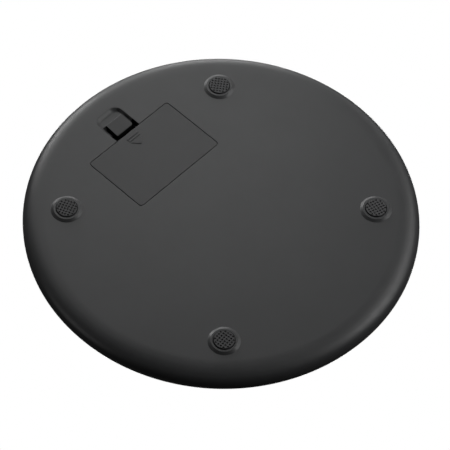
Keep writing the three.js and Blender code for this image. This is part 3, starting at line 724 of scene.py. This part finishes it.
def latch_slots():
    """The slot that the latch's nose reaches into, and the notch for the door's arms."""
    return [
        block("catch", (LATCH_LOW_X_IN - CATCH_CLEAR, WELL_END_Y - 2.5, CATCH_Z),
              (LATCH_HIGH_X + CATCH_CLEAR, WELL_END_Y + 1, POCKET_CEILING - 2 * SKEW)),
        block("notch", (LATCH_X - NOTCH_HALF, BAY_OUT_Y - OVERLAP, FLAT_Z + 0.3),
              (LATCH_X + NOTCH_HALF, SPACE_OUT_Y + OVERLAP, NOTCH_CEILING)),
    ]


def bay_cutters():
    """The door's seat, and the spaces for the cells and for the switch behind it."""
    mid_y = (SPACE_OUT_Y + SPACE_IN_Y) / 2
    half_y = (SPACE_IN_Y - SPACE_OUT_Y) / 2
    seat = rectangle(BAY_X, BAY_MID_Y, BAY_HALF_X, BAY_HALF_Y, BAY_CORNER)
    cells, switch = (
        rectangle((x0 + x1) / 2, mid_y, (x1 - x0) / 2, half_y, SPACE_CORNER, 4)()
        for x0, x1 in ((SPACE_LOW_X, SWITCH_WALL_X), (SWITCH_LOW_X, SPACE_HIGH_X))
    )
    return [
        recess("seat", seat, FLOOR_Z, DOOR_LIP, FLAT_Z),
        prism("cells", cells, BELOW, BAY_ROOF),
        prism("switch", switch, BELOW, SWITCH_CEILING),
    ]


def lug_slot(side):
    x = BAY_X + LUG_X * side
    return block("lug_slot", (x - LUG_HALF - LUG_CLEAR, SPACE_IN_Y - OVERLAP, FLOOR_Z - SKEW),
                 (x + LUG_HALF + LUG_CLEAR, SPACE_IN_Y + SPACE_END_WALL + OVERLAP, LUG_SLOT_TOP))


def bay_ribs():
    """Saddles between the cells, at both ends of the bay."""
    ends = ((SPACE_OUT_Y - OVERLAP, SPACE_OUT_Y + RIB_LENGTH),
            (SPACE_IN_Y - RIB_LENGTH, SPACE_IN_Y + OVERLAP))
    top = BAY_ROOF + OVERLAP
    middles = [node_box(f"battery_{number}")[1].x + RIB_FROM_CELL for number in (1, 2, 3)]
    return [block("rib", (x - RIB_HALF, y0, RIB_Z), (x + RIB_HALF, y1, top))
            for x in middles for y0, y1 in ends]


def housings():
    """The walls and roofs inside the shell, round the cells, the switch and the pocket."""
    sunk = FLOOR_Z - HOUSING_SUNK
    out_y = SPACE_OUT_Y - SPACE_END_WALL
    in_y = SPACE_IN_Y + SPACE_END_WALL
    return [
        block("cell_housing", (SPACE_LOW_X - HOUSING_WALL, out_y, sunk),
              (SWITCH_LOW_X, in_y, BAY_ROOF + BAY_ROOF_T)),
        block("switch_housing", (SWITCH_WALL_X, out_y, sunk),
              (SPACE_HIGH_X + HOUSING_WALL, in_y, SWITCH_CEILING + HOUSING_WALL)),
        prism("pocket_housing", pocket_outline(HOUSING_WALL), sunk, POCKET_CEILING + POCKET_ROOF_T),
    ]


def collar(x, y):
    """The shell's cone round a foot, with a soft root on the flat."""
    root = FLAT_Z + 0.03
    skirt = COLLAR_R + 1.5
    top = FLAT_Z + 1
    line = rounded([
        (0, LAND_Z, 0), (LAND_R, LAND_Z, 0.4), (COLLAR_R, root, 0.8), (skirt, root, 0),
        (skirt, top, 0), (0, top, 0),
    ], closed=False)
    return lathe("collar", line, FOOT_AROUND, (x, y))


def rolled_edge(inset, steps):
    """The edge's line from the flat to the wall, in ever tighter arcs, moved in by inset."""
    tilt, r, z = 0, 0, FLAT_Z + inset
    line = [(r, z)]
    for radius, sweep in EDGE_ARCS:
        for _ in range(steps):
            start, end = math.radians(tilt), math.radians(tilt + sweep / steps)
            r += (radius - inset) * (math.sin(end) - math.sin(start))
            z += (radius - inset) * (math.cos(start) - math.cos(end))
            tilt += sweep / steps
            line.append((r, z))
    return [(BODY_R - inset - r + x, y) for x, y in line]


def shell_body():
    """The dish with its rolled edge: its profile turned, and its flat floor closed."""
    outer = rolled_edge(0, 6)
    inner = rolled_edge(WALL, 3)
    rim = [(BODY_R, RIM_Z - 0.25), (BODY_R - 0.08, RIM_Z - 0.07), (BODY_R - 0.25, RIM_Z),
           (BODY_R - WALL, RIM_Z)]
    dish = lathe("shell", [*outer, *rim, *reversed(inner)], AROUND)
    edit(dish.data, lambda shape: cap_rings(shape, outer[0][0]))
    return dish


def cap_rings(shape, radius):
    """Replaces the wall between the outer and the inner floor's edge by the two floors."""
    walls = [f for f in shape.faces if is_floor_band(f, radius)]
    bmesh.ops.delete(shape, geom=walls, context="FACES")
    loose = [e for e in shape.edges if len(e.link_faces) == 1]
    bmesh.ops.holes_fill(shape, edges=loose, sides=0)
    face_outwards(shape)


def is_floor_band(face, radius):
    """True for the faces that join the outer floor's edge straight to the inner floor's edge."""
    near = all(abs(math.hypot(*v.co.xy) / MM - radius) < 0.01 for v in face.verts)
    heights = [v.co.z for v in face.verts]
    return near and max(heights) - min(heights) > WALL * MM / 2


# The box round the pocket's faces, which are split and given painted shade.
POCKET_LOW_X = BAY_X - POCKET_HALF - 0.05
POCKET_HIGH_X = BAY_X + POCKET_HALF + 0.05
POCKET_BOX_TOP = (POCKET_HIGH_X, BAY_OUT_Y + 0.5, POCKET_CEILING + 0.1)
JUST_IN_Z = FLAT_Z + 0.05
WELL_EDGE_Y = WELL_END_Y - 0.1


def split_pocket(shell):
    """Gives the pocket's long faces edges where their painted shade changes."""
    for y in (SHADE_RIGHT_Y, WELL_EDGE_Y, SHADE_LEFT_Y, WELL_WIDE_Y):
        split_along_y(shell, y, (POCKET_LOW_X, POCKET_END_Y, JUST_IN_Z), POCKET_BOX_TOP)


def paint_shade_in_pocket(shell):
    """Paints shade in the pocket: near black on the deep walls, and darker on the slopes on both
    sides of the latch.
    """
    paint_shade(shell, PAINTED_SHADE_ABS, (POCKET_LOW_X, WELL_EDGE_Y, SHELL_SHADE_Z), POCKET_BOX_TOP)
    paint_shade(shell, PAINTED_SHADE_ABS, (POCKET_LOW_X, WELL_END_Y - 3, WELL_FLOOR - 2), POCKET_BOX_TOP)
    slope_top = FLAT_Z + RAMP_DEPTH + 0.1
    low_x, high_x = BAY_X - WELL_HALF, POCKET_HIGH_X - 2.6
    # Painted shade on the slopes: the latch's darker colour and the black ABS stand in for the
    # shade there.
    for material, low, high in (
        (LATCH_AND_SLOPE_SHADE_ABS, (POCKET_LOW_X, WELL_EDGE_Y, FLAT_Z - 1), (low_x, SHADE_LEFT_Y)),
        (LOOKS["black_abs"], (POCKET_LOW_X, SHADE_LEFT_Y, JUST_IN_Z), (low_x, WELL_WIDE_Y)),
        (LOOKS["black_abs"], (high_x, SHADE_RIGHT_Y, JUST_IN_Z), (POCKET_HIGH_X, WELL_WIDE_Y)),
    ):
        paint_shade(shell, material, low, (*high, slope_top))


def bottom_shell():
    feet = [foot_centre(name) for name in FEET]
    button_x, button_y, _ = node_middle("unit_button")
    shell = join(shell_body(), *housings(), *[collar(x, y) for x, y in feet])
    cut(
        shell,
        *bay_cutters(),
        finger_scoop(),
        *latch_wells(),
        *latch_slots(),
        prism("button_hole", circle(button_x, button_y, BUTTON_HOLE_R, 40)(), *BUTTON_HOLE_Z),
        *[lug_slot(side) for side in (-1, 1)],
        *[recess("hole", circle(x, y, FOOT_HOLE_R, FOOT_AROUND), FLOOR_Z + 1, FOOT_HOLE_LIP, LAND_Z)
          for x, y in feet],
    )
    join(shell, *bay_ribs())
    split_pocket(shell)
    finish_piece(shell, "root", "dark_abs", ["bottom_shell"])
    paint_shade_in_pocket(shell)


# -------- battery door and latch


def arrow():
    """The raised arrow that shows which way to pull: two bars and a triangle."""
    z0 = FLAT_Z - ARROW_RISE
    z1 = FLAT_Z + 0.3
    bodies = []
    for y0, y1 in ARROW_BARS_Y:
        outline = rectangle(BAY_X, (y0 + y1) / 2, ARROW_HALF, (y1 - y0) / 2, 0.25, 3)
        bodies.append(plate("bar", outline, z0, z1, ARROW_LIP, 0))
    corners = ((-ARROW_HALF, ARROW_BASE_Y), (ARROW_HALF, ARROW_BASE_Y), (0, ARROW_TIP_Y))
    middle_y = (2 * ARROW_BASE_Y + ARROW_TIP_Y) / 3

    def triangle(grow=0):
        shrink = 1 + grow / (middle_y - ARROW_BASE_Y)
        return rounded([(BAY_X + x * shrink, middle_y + (y - middle_y) * shrink, 0.3)
                        for x, y in corners], steps=3)

    bodies.append(plate("triangle", triangle, z0, z1, ARROW_LIP, 0))
    return bodies


def lug(side, top):
    """A hook on the door's inner edge."""
    neck_y = BAY_IN_Y - 0.7
    tip_y = BAY_IN_Y + LUG_REACH
    root_y = BAY_IN_Y - 5
    sunk, under, over = top - 0.4, top + 0.5, top + 1.8
    section = [(root_y, sunk), (neck_y, sunk), (neck_y, under), (tip_y, under),
               (tip_y, top + 1.4), (tip_y - 0.4, over), (root_y, over)]
    x = BAY_X + LUG_X * side
    return bar("lug", section, x - LUG_HALF, x + LUG_HALF)


def arm(side, top):
    """An arm on the door's outer edge, which the latch hangs on."""
    edge_y = BAY_OUT_Y + DOOR_GAP
    post_y = edge_y + 1.6
    end_y = edge_y - 4.6
    sunk = top - 0.6
    over = WING_Z - 0.3
    under = over - 1.4
    section = [(edge_y, sunk), (post_y, sunk), (post_y, over), (end_y, over),
               (end_y, under), (edge_y, under)]
    x = LATCH_X + ARM_X * side
    return bevelled(bar("arm", section, x - ARM_HALF, x + ARM_HALF), 0.2, 2)


def battery_door():
    half_x = BAY_HALF_X - DOOR_GAP
    half_y = BAY_HALF_Y - DOOR_GAP
    top = FLAT_Z + DOOR_T
    outline = rectangle(BAY_X, BAY_MID_Y, half_x, half_y, BAY_CORNER - DOOR_GAP)
    door = plate("battery_door_skin", outline, FLAT_Z, top, DOOR_LIP, 0.15)
    hooks = [make_part(side, top) for side in (-1, 1) for make_part in (lug, arm)]
    join(door, *hooks, *arrow())
    finish_piece(door, "battery_door", "dark_abs", ["battery_door"], DOOR_ABS)
    # Painted shade: the door's faces deep beside the latch go near black.
    paint_shade(door, PAINTED_SHADE_ABS, (POCKET_LOW_X, BAY_OUT_Y - 6, DOOR_SHADE_Z),
           (POCKET_HIGH_X, BAY_OUT_Y + 3, WING_Z))


def latch_block():
    """The block that a finger pulls: its side view and its view from below, where both agree."""
    section = rounded([
        (LATCH_IN_Y, FLAT_Z + 0.6, 0.9),
        (LATCH_IN_Y, LATCH_TOP, 0),
        (LATCH_NOSE_Y + 1.2, LATCH_TOP, 0),
        (LATCH_NOSE_Y, LATCH_TOP - 0.8, 0.2),
        (LATCH_NOSE_Y, CATCH_Z + 0.4, 0.2),
        (LATCH_OUT_Y + 0.7, CATCH_Z - 0.8, 0),
        (LATCH_OUT_Y, FLAT_Z - 0.2, 0.5),
    ], steps=5)
    end_y = LATCH_NOSE_Y - 1
    face = rounded([
        (LATCH_LOW_X_OUT, end_y, 0), (LATCH_HIGH_X, end_y, 0),
        (LATCH_HIGH_X, LATCH_IN_Y, 2.2), (LATCH_LOW_X_IN, LATCH_IN_Y, 0.9),
    ], steps=6)
    latch = prism("battery_door_latch_skin", face, 0, LATCH_TOP)
    side_view = bar("side_view", section, LATCH_LOW_X_IN - 1, LATCH_HIGH_X + 1)
    return bevelled(combine(latch, [side_view], "INTERSECT"), 0.3)


def battery_door_latch():
    latch = latch_block()
    reach = ARM_X + ARM_HALF
    for x0, x1 in ((LATCH_X - reach, LATCH_LOW_X_OUT + OVERLAP),
                   (LATCH_HIGH_X - OVERLAP, LATCH_X + reach)):
        wing = block("wing", (x0, WING_OUT_Y, WING_Z), (x1, WING_IN_Y, LATCH_TOP - 2 * SKEW))
        join(latch, bevelled(wing, 0.2, 2))
    finish_piece(latch, "battery_door_latch", "dark_abs", ["battery_door_latch"], LATCH_AND_SLOPE_SHADE_ABS)
    # Painted shade: the latch's deep faces go near black.
    paint_shade(latch, PAINTED_SHADE_ABS, (POCKET_LOW_X, LATCH_NOSE_Y - 1, LATCH_SHADE_Z),
           (POCKET_HIGH_X, WING_IN_Y + 1, LATCH_TOP + 1))


# -------- feet


def foot_centre(name):
    return node_middle(f"foot_pad_{name}")[:2]


def foot_holder(name):
    seat = PAD_TOP + 0.1
    line = rounded([
        (0, seat, 0), (HOLDER_R, seat, 0.2), (HOLDER_R, FLANGE_Z, 0),
        (FLANGE_R, FLANGE_Z, 0.3), (FLANGE_R, HOLDER_TOP, 0.3), (0, HOLDER_TOP, 0),
    ], closed=False)
    holder = lathe(f"foot_holder_skin_{name}", line, FOOT_AROUND, foot_centre(name))
    finish_piece(holder, f"foot_{name}", "dark_abs", [f"foot_holder_{name}"])


def pits(x, y, lattice_degrees):
    """A field of square pits that taper inwards, as one cutting body."""
    turn = Matrix.Rotation(math.radians(lattice_degrees), 2)
    half = PIT_SIZE / 2
    levels = ((-0.5, half + 0.1), (0, half), (PIT_DEPTH, half - PIT_TAPER))
    reach = math.ceil(PAD_R / PIT_PITCH)
    steps = range(-reach, reach + 1)
    points, faces = [], []
    for i, j in ((i, j) for i in steps for j in steps):
        centre = Vector(((i + 0.5) * PIT_PITCH, (j + 0.5) * PIT_PITCH))
        if centre.length > PAD_R - PIT_MARGIN:
            continue
        base = len(points)
        for z, size in levels:
            for sx, sy in ((-1, -1), (1, -1), (1, 1), (-1, 1)):
                corner = turn @ (centre + Vector((sx * size, sy * size)))
                points.append((x + corner.x, y + corner.y, z))
        faces.append([base + k for k in (0, 1, 2, 3)])
        faces.append([base + k for k in (8, 9, 10, 11)])
        faces += bridge(base, base + 4, 4) + bridge(base + 4, base + 8, 4)
    return make("pits", points, faces)


def foot_pad(name, lattice_degrees):
    """A rubber disc whose sole is a lattice between pits."""
    x, y = foot_centre(name)
    corners = [(0, 0, 0), (PAD_R, 0, 0.45), (PAD_R, PAD_TOP, 0.2), (0, PAD_TOP, 0)]
    pad = lathe(f"foot_pad_skin_{name}", rounded(corners, closed=False), FOOT_AROUND, (x, y))
    cut(pad, pits(x, y, lattice_degrees))
    finish_piece(pad, f"foot_{name}", "pad_rubber", [f"foot_pad_{name}"])


# -------- battery bay


def cell(index):
    """An AA cell: steel can ends, a crimped shoulder and a nub."""
    low, high = node_box(f"battery_{index}")
    radius = (high.x - low.x) / 2
    length = high.y - low.y
    line = rounded([
        (0, 0.25, 0), (radius - 1.6, 0.25, 0), (radius - 1.3, 0, 0.2), (radius - 0.5, 0, 0.3),
        (radius, 0.7, 0.3), (radius, length - 2.2, 0.4), (radius - 1, length - 1.3, 0.3),
        (2.8, length - 1.2, 0.15), (2.7, length, 0.5), (0, length, 0),
    ], closed=False, steps=4)
    obj = lathe(f"battery_skin_{index}", line)
    # Every other cell is turned round.
    turn, start_y = (-math.pi / 2, low.y) if index % 2 else (math.pi / 2, high.y)
    x, _, z = node_middle(f"battery_{index}")
    obj.data.transform(Matrix.Rotation(turn, 4, "X"))
    obj.data.transform(Matrix.Translation(Vector((x, start_y, z)) * MM))
    finish_piece(obj, "root", "cell_jacket", [f"battery_{index}"])
    obj.data.materials.append(LOOKS["plated_steel"])
    jacket_start, jacket_end = 0.72, length - 1.9
    for face in obj.data.polygons:
        along = abs(face.center.y - start_y * MM) / MM
        if not jacket_start <= along <= jacket_end:
            face.material_index = 1


def spring_path():
    """Points along a conical spring that rises along Z."""
    count = int(24 * SPRING_TURNS)
    low_r, high_r = SPRING_RADII
    path = []
    for k in range(count + 1):
        part = k / count
        angle = 2 * math.pi * SPRING_TURNS * part
        radius = low_r + (high_r - low_r) * part
        z = SPRING_WIRE_R + (SPRING_HEIGHT - 2 * SPRING_WIRE_R) * part
        path.append(Vector((radius * math.cos(angle), radius * math.sin(angle), z)))
    return path


def tube(path, radius, sides=8):
    """Rings of points round a path."""
    rings = []
    for k, at in enumerate(path):
        ahead = path[min(k + 1, len(path) - 1)] - path[max(k - 1, 0)]
        side = ahead.cross(Vector((0, 0, 1))).normalized()
        lift = side.cross(ahead).normalized()
        ring = []
        for s in range(sides):
            angle = 2 * math.pi * s / sides
            ring.append(at + (side * math.cos(angle) + lift * math.sin(angle)) * radius)
        rings.append(ring)
    return rings


def stud():
    dome = [(0, -0.2, 0), (2.4, -0.2, 0), (1.9, 0.85, 0.5), (0, 0.9, 0)]
    return lathe("stud", rounded(dome, closed=False), 32)


def contact(name, spring_cell=None, stud_cell=None):
    """A sheet contact with a conical spring for one cell and a pressed stud for another."""
    low, high = node_box(name)
    toward, wall_y = (-1, high.y) if (low.y + high.y) / 2 > BAY_MID_Y else (1, low.y)
    face_y = wall_y + toward * SHEET_T
    y0, y1 = sorted((wall_y, face_y))
    sheet = block(name + "_skin", (low.x, y0, low.z), (high.x, y1, high.z))
    bevelled(sheet, 0.12, 2)
    # A spring or stud is made along +Z and then turned to point into the bay.
    facing = Matrix.Rotation(-toward * math.pi / 2, 4, "X")
    for index in (spring_cell, stud_cell):
        if index is None:
            continue
        x, _, z = node_middle(f"battery_{index}")
        if index == spring_cell:
            extra = stack("spring", tube(spring_path(), SPRING_WIRE_R))
        else:
            extra = stud()
        extra.data.transform(facing)
        extra.data.transform(Matrix.Translation(Vector((x, face_y, z)) * MM))
        merge_meshes(sheet, extra)
    finish_piece(sheet, "root", "plated_steel", [name])


def unit_button():
    """A cap with a slight dish, on a flange."""
    low, high = node_box("unit_button")
    line = rounded([
        (0, low.z + 0.35, 0), (1.6, low.z + 0.25, 0.5), (3.0, low.z, 0.5), (4, low.z + 0.1, 0.5),
        (4, high.z - 1, 0), (6, high.z - 1, 0.2), (6, high.z, 0.2), (0, high.z, 0),
    ], closed=False)
    button = lathe("unit_button_skin", line, at=node_middle("unit_button"))
    finish_piece(button, "unit_button", "white_abs", ["unit_button"])


# -------- top side


def top_frame():
    """The sloping bezel and the plate under the glass, open over the bay and the display."""
    lip_r = BODY_R - WALL - 0.4
    parting_z = RIM_Z + PARTING
    line = rounded([
        (0, PLATE_Z, 0), (159, PLATE_Z, 0), (160.4, 18.4, 0), (160.4, 12, 0.3), (lip_r, 12, 0.3),
        (lip_r, parting_z, 0), (BODY_R - 0.25, parting_z, 0.25), (BODY_R - 0.7, RIM_Z + 1.5, 1.2),
        (158.4, 24.9, 1.0), (157.4, 26, 0.5), (156.3, 26.3, 0.25), (156, 25.9, 0.15),
        (156, PLATE_TOP, 0), (0, PLATE_TOP, 0),
    ], closed=False)
    top = lathe("top_frame_skin", line, AROUND)
    below, above = PLATE_Z - 1, PLATE_TOP + 1
    clear = 1.5
    cut(
        top,
        block("bay", (BAY_X - BAY_HALF_X - clear, BAY_OUT_Y - clear, below),
              (BAY_X + BAY_HALF_X + clear, BAY_IN_Y + clear, above)),
        block("display", (LCD_LOW.x - 0.5, LCD_LOW.y - 0.5, below),
              (LCD_HIGH.x + 0.5, LCD_HIGH.y + 0.5, above)),
    )
    finish_piece(top, "root", "dark_abs", ["top_frame"])


def platform():
    """The glass disc, and the black print on its back with a window for the display."""
    line = rounded([
        (0, GLASS_LOW.z, 0), (GLASS_R, GLASS_LOW.z, 0.4), (GLASS_R, GLASS_HIGH.z - 0.9, 0.35),
        (GLASS_R - 0.9, GLASS_HIGH.z, 0.35), (0, GLASS_HIGH.z, 0),
    ], closed=False)
    glass = lathe("platform_glass_skin", line, AROUND)
    finish_piece(glass, "root", "black_glass", ["platform_glass"])
    z0 = GLASS_LOW.z - 0.045
    z1 = GLASS_LOW.z - 0.01
    print_r = GLASS_R - 0.5
    sheet = lathe("glass_print", [(0, z0), (print_r, z0), (print_r, z1), (0, z1)], AROUND)
    window = rectangle(LCD_X, LCD_Y, *WINDOW_HALF, 2.5)
    cut(sheet, prism("window", window(), z0 - 1, z1 + 1))
    finish_piece(sheet, "root", "black_glass", material=PRINT)


# The six segments of a nought: each one's middle in digit widths, and whether it lies level.
NOUGHT = (
    (0.5, 2, True), (0.5, 0, True),
    (0, 1.5, False), (1, 1.5, False), (0, 0.5, False), (1, 0.5, False),
)
DIGIT_WIDTH = 7.6
DIGIT_LEFTS = (LCD_X - 14, LCD_X + 4)
DIGIT_SLANT = 0.09
SEGMENT_HALF = 0.75
SEGMENT_GAP = 0.25
DOT_X = LCD_X - 1.2
DOT_HALF = 0.95


def reading_outlines():
    """The outlines of a plain reading of nought point nought."""
    low_y = LCD_Y - DIGIT_WIDTH
    long, half = DIGIT_WIDTH / 2 - SEGMENT_GAP, SEGMENT_HALF
    line = [(-long, 0), (half - long, half), (long - half, half), (long, 0), (long - half, -half),
            (half - long, -half)]
    outlines = []
    for left in DIGIT_LEFTS:
        for u, v, level in NOUGHT:
            cx = left + u * DIGIT_WIDTH
            cy = low_y + v * DIGIT_WIDTH
            outlines.append([(cx + a, cy + b) if level else (cx + b, cy + a) for a, b in line])
    corners = ((-1, -1), (1, -1), (1, 1), (-1, 1))
    outlines.append([(DOT_X + sx * DOT_HALF, low_y + sy * DOT_HALF) for sx, sy in corners])
    return outlines


def display_digits():
    """The reading, as thin liquid crystal segments on the display."""
    z0 = LCD_HIGH.z + 0.01
    z1 = z0 + 0.03
    points, faces = [], []
    for outline in reading_outlines():
        base, count = len(points), len(outline)
        for z in (z0, z1):
            points.extend((x + DIGIT_SLANT * (y - LCD_Y), y, z) for x, y in outline)
        faces.append([base + k for k in range(count)])
        faces.append([base + count + k for k in range(count)])
        faces += bridge(base, base + count, count)
    finish_piece(make("lcd_digits", points, faces), "root", "lcd_glass", material=SEGMENT)


# -------- camera, in degrees and metres

CAMERA_AZIMUTH = 227.76
CAMERA_ELEVATION = -55.11
CAMERA_ROLL = 182.27
CAMERA_DISTANCE = 1.983
CAMERA_LENS = 191.7
CAMERA_DROP = 0.00035
AIM = (0.0027, -0.01465)


def camera_axes():
    """Right, up and back directions of the camera, before it is aimed off the origin."""
    azimuth = math.radians(CAMERA_AZIMUTH)
    elevation = math.radians(CAMERA_ELEVATION)
    level = math.cos(elevation)
    back = Vector((math.sin(azimuth) * level, -math.cos(azimuth) * level, math.sin(elevation)))
    right = Vector((0, 0, 1)).cross(back).normalized()
    up = back.cross(right)
    roll = Quaternion(back, math.radians(CAMERA_ROLL))
    return roll @ right, roll @ up, back


RIGHT, UP, BACK = camera_axes()


def camera():
    drop = Vector((0, 0, CAMERA_DROP))
    place = BACK * CAMERA_DISTANCE - drop
    aim = RIGHT * AIM[0] + UP * AIM[1] - drop
    back = (place - aim).normalized()
    right = (RIGHT - back * RIGHT.dot(back)).normalized()
    up = back.cross(right)
    data = bpy.data.cameras.new("camera")
    data.lens = CAMERA_LENS
    data.sensor_width = 36
    data.clip_start = 0.05
    data.clip_end = 50
    obj = bpy.data.objects.new("camera", data)
    turn = Matrix((right, up, back)).transposed().to_4x4()
    obj.matrix_world = Matrix.Translation(place) @ turn
    scene.collection.objects.link(obj)
    scene.camera = obj


# -------- floor, world and lamps, in metres

FLOOR_HALF = 6
FLOOR_SINK = 0.0002  # keeps the floor off the feet's soles
FLOOR_FADE = (0.2, 0.5)  # how far from the middle the floor begins to whiten, and is white
AMBIENT_BELOW = 0.0
AMBIENT_ABOVE = 0.035


def floor():
    """A pale floor that fades to white. It has no underside, so the scale's can be seen."""
    half = FLOOR_HALF
    corners = [(-half, -half, 0), (half, -half, 0), (half, half, 0), (-half, half, 0)]
    mesh = bpy.data.meshes.new("floor")
    mesh.from_pydata(corners, [], [(0, 1, 2, 3)])
    obj = bpy.data.objects.new("floor", mesh)
    obj.location.z = -FLOOR_SINK
    scene.collection.objects.link(obj)
    n = Surface("floor")
    material = n.shaded({
        "Base Color": n.ramp(n.noise(3, 3), (0.78, 0.78, 0.78), (0.8, 0.8, 0.8)),
        "Roughness": 0.7,
    })
    side = n.add("ShaderNodeNewGeometry")
    away = n.add("ShaderNodeVectorMath", {0: side.outputs["Position"]}, operation="LENGTH")
    fade = n.span(away.outputs["Value"], 0, 1, *FLOOR_FADE, interpolation_type="SMOOTHSTEP")
    white = n.add("ShaderNodeEmission").outputs["Emission"]
    clear = n.add("ShaderNodeBsdfTransparent").outputs["BSDF"]
    upper = n.blend(fade, n.shader.outputs["BSDF"], white)
    both = n.blend(side.outputs["Backfacing"], upper, clear)
    n.feed(n.tree.nodes["Material Output"], {"Surface": both})
    mesh.materials.append(material)
    obj.visible_shadow = False
    obj.visible_diffuse = False
    obj.visible_glossy = False


def world():
    """White to the camera and through the glass, and a soft dim surround for everything else."""
    surround = bpy.data.worlds.new("world")
    surround.use_nodes = True
    n = Nodes(surround.node_tree, "Generated")
    path = n.add("ShaderNodeLightPath").outputs
    direct = n.calculate("LESS_THAN", path["Diffuse Depth"], 0.5)
    through = n.calculate("MULTIPLY", path["Is Transmission Ray"], direct)
    seen = n.calculate("MAXIMUM", path["Is Camera Ray"], through)
    height = n.add("ShaderNodeSeparateXYZ", {0: n.place}).outputs["Z"]
    dim = n.span(height, AMBIENT_BELOW, AMBIENT_ABOVE, 0, 0.5)
    level = n.add("ShaderNodeMix", {0: seen, 2: dim, 3: 1.0}, data_type="FLOAT").outputs[0]
    n.feed(n.tree.nodes["Background"], {"Color": (1, 1, 1, 1), "Strength": level})
    scene.world = surround


def lamp(name, direction, distance, size, watts):
    """A square soft box that faces the scale's middle from a direction."""
    data = bpy.data.lights.new(name, "AREA")
    data.size = size
    data.energy = watts
    obj = bpy.data.objects.new(name, data)
    obj.location = direction.normalized() * distance
    obj.rotation_mode = "QUATERNION"
    obj.rotation_quaternion = direction.to_track_quat("Z", "Y")
    scene.collection.objects.link(obj)


DOWN = Vector((0, 0, -1))
FLAT_RIGHT = (RIGHT - DOWN * RIGHT.dot(DOWN)).normalized()
FLAT_UP = (UP - DOWN * UP.dot(DOWN)).normalized()


def off_the_flat(turn, rise):
    """A direction turned from the picture's right in the underside's plane, and risen off it."""
    turn, rise = math.radians(turn), math.radians(rise)
    flat = FLAT_RIGHT * math.cos(turn) + FLAT_UP * math.sin(turn)
    return flat * math.cos(rise) + DOWN * math.sin(rise)


# Name, turn and rise in degrees, distance and size in metres, watts.
UNDER_LAMPS = (
    ("under_top", 90, 5, 1.3, 0.5, 3.09),
    ("under_top_near", 105, 12, 1.3, 0.4, 0.55),
    ("under_top_left", 120, 12, 1.3, 0.4, 2.5),
    ("under_top_left_high", 120, 20, 1.3, 0.4, 1.8),
    ("under_sheen", 90, 55, 0.6, 0.3, 0.25),
    ("under_sheen_low", 90, 40, 0.8, 0.4, 0.52),
    ("under_soft", 130, 50, 0.7, 0.3, 0.24),
    ("under_top_right", 30, 30, 1.2, 0.4, 1.4),
    ("under_grazing", 60, 15, 1.3, 0.4, 0.55),
    ("under_low_right", 0, 28, 1.3, 0.4, 1.31),
    ("under_right", 0, 45, 1.3, 0.4, 2.1),
    ("under_high_right", 15, 50, 1.0, 0.4, 0.82),
    ("under_left", 200, 20, 1.3, 0.4, 0.85),
)


def lamps():
    """Soft boxes below the scale that shade it as in the photo, and one above for its top side."""
    for name, turn, rise, distance, size, watts in UNDER_LAMPS:
        lamp(name, off_the_flat(turn, rise), distance, size, watts)
    lamp("top_key", -BACK, 2.0, 1.4, 55)


# -------- the whole scene

camera()
floor()
world()
lamps()
dress_cad_nodes()
bottom_shell()
battery_door()
battery_door_latch()
for foot, lattice in FEET.items():
    foot_holder(foot)
    foot_pad(foot, lattice)
for number in (1, 2, 3, 4):
    cell(number)
contact("contact_positive", stud_cell=1)
contact("contact_bridge_1", spring_cell=1, stud_cell=2)
contact("contact_bridge_2", spring_cell=2, stud_cell=3)
contact("contact_bridge_3", spring_cell=3, stud_cell=4)
contact("contact_negative", spring_cell=4)
unit_button()
top_frame()
platform()
display_digits()

scene.view_settings.view_transform = "Standard"
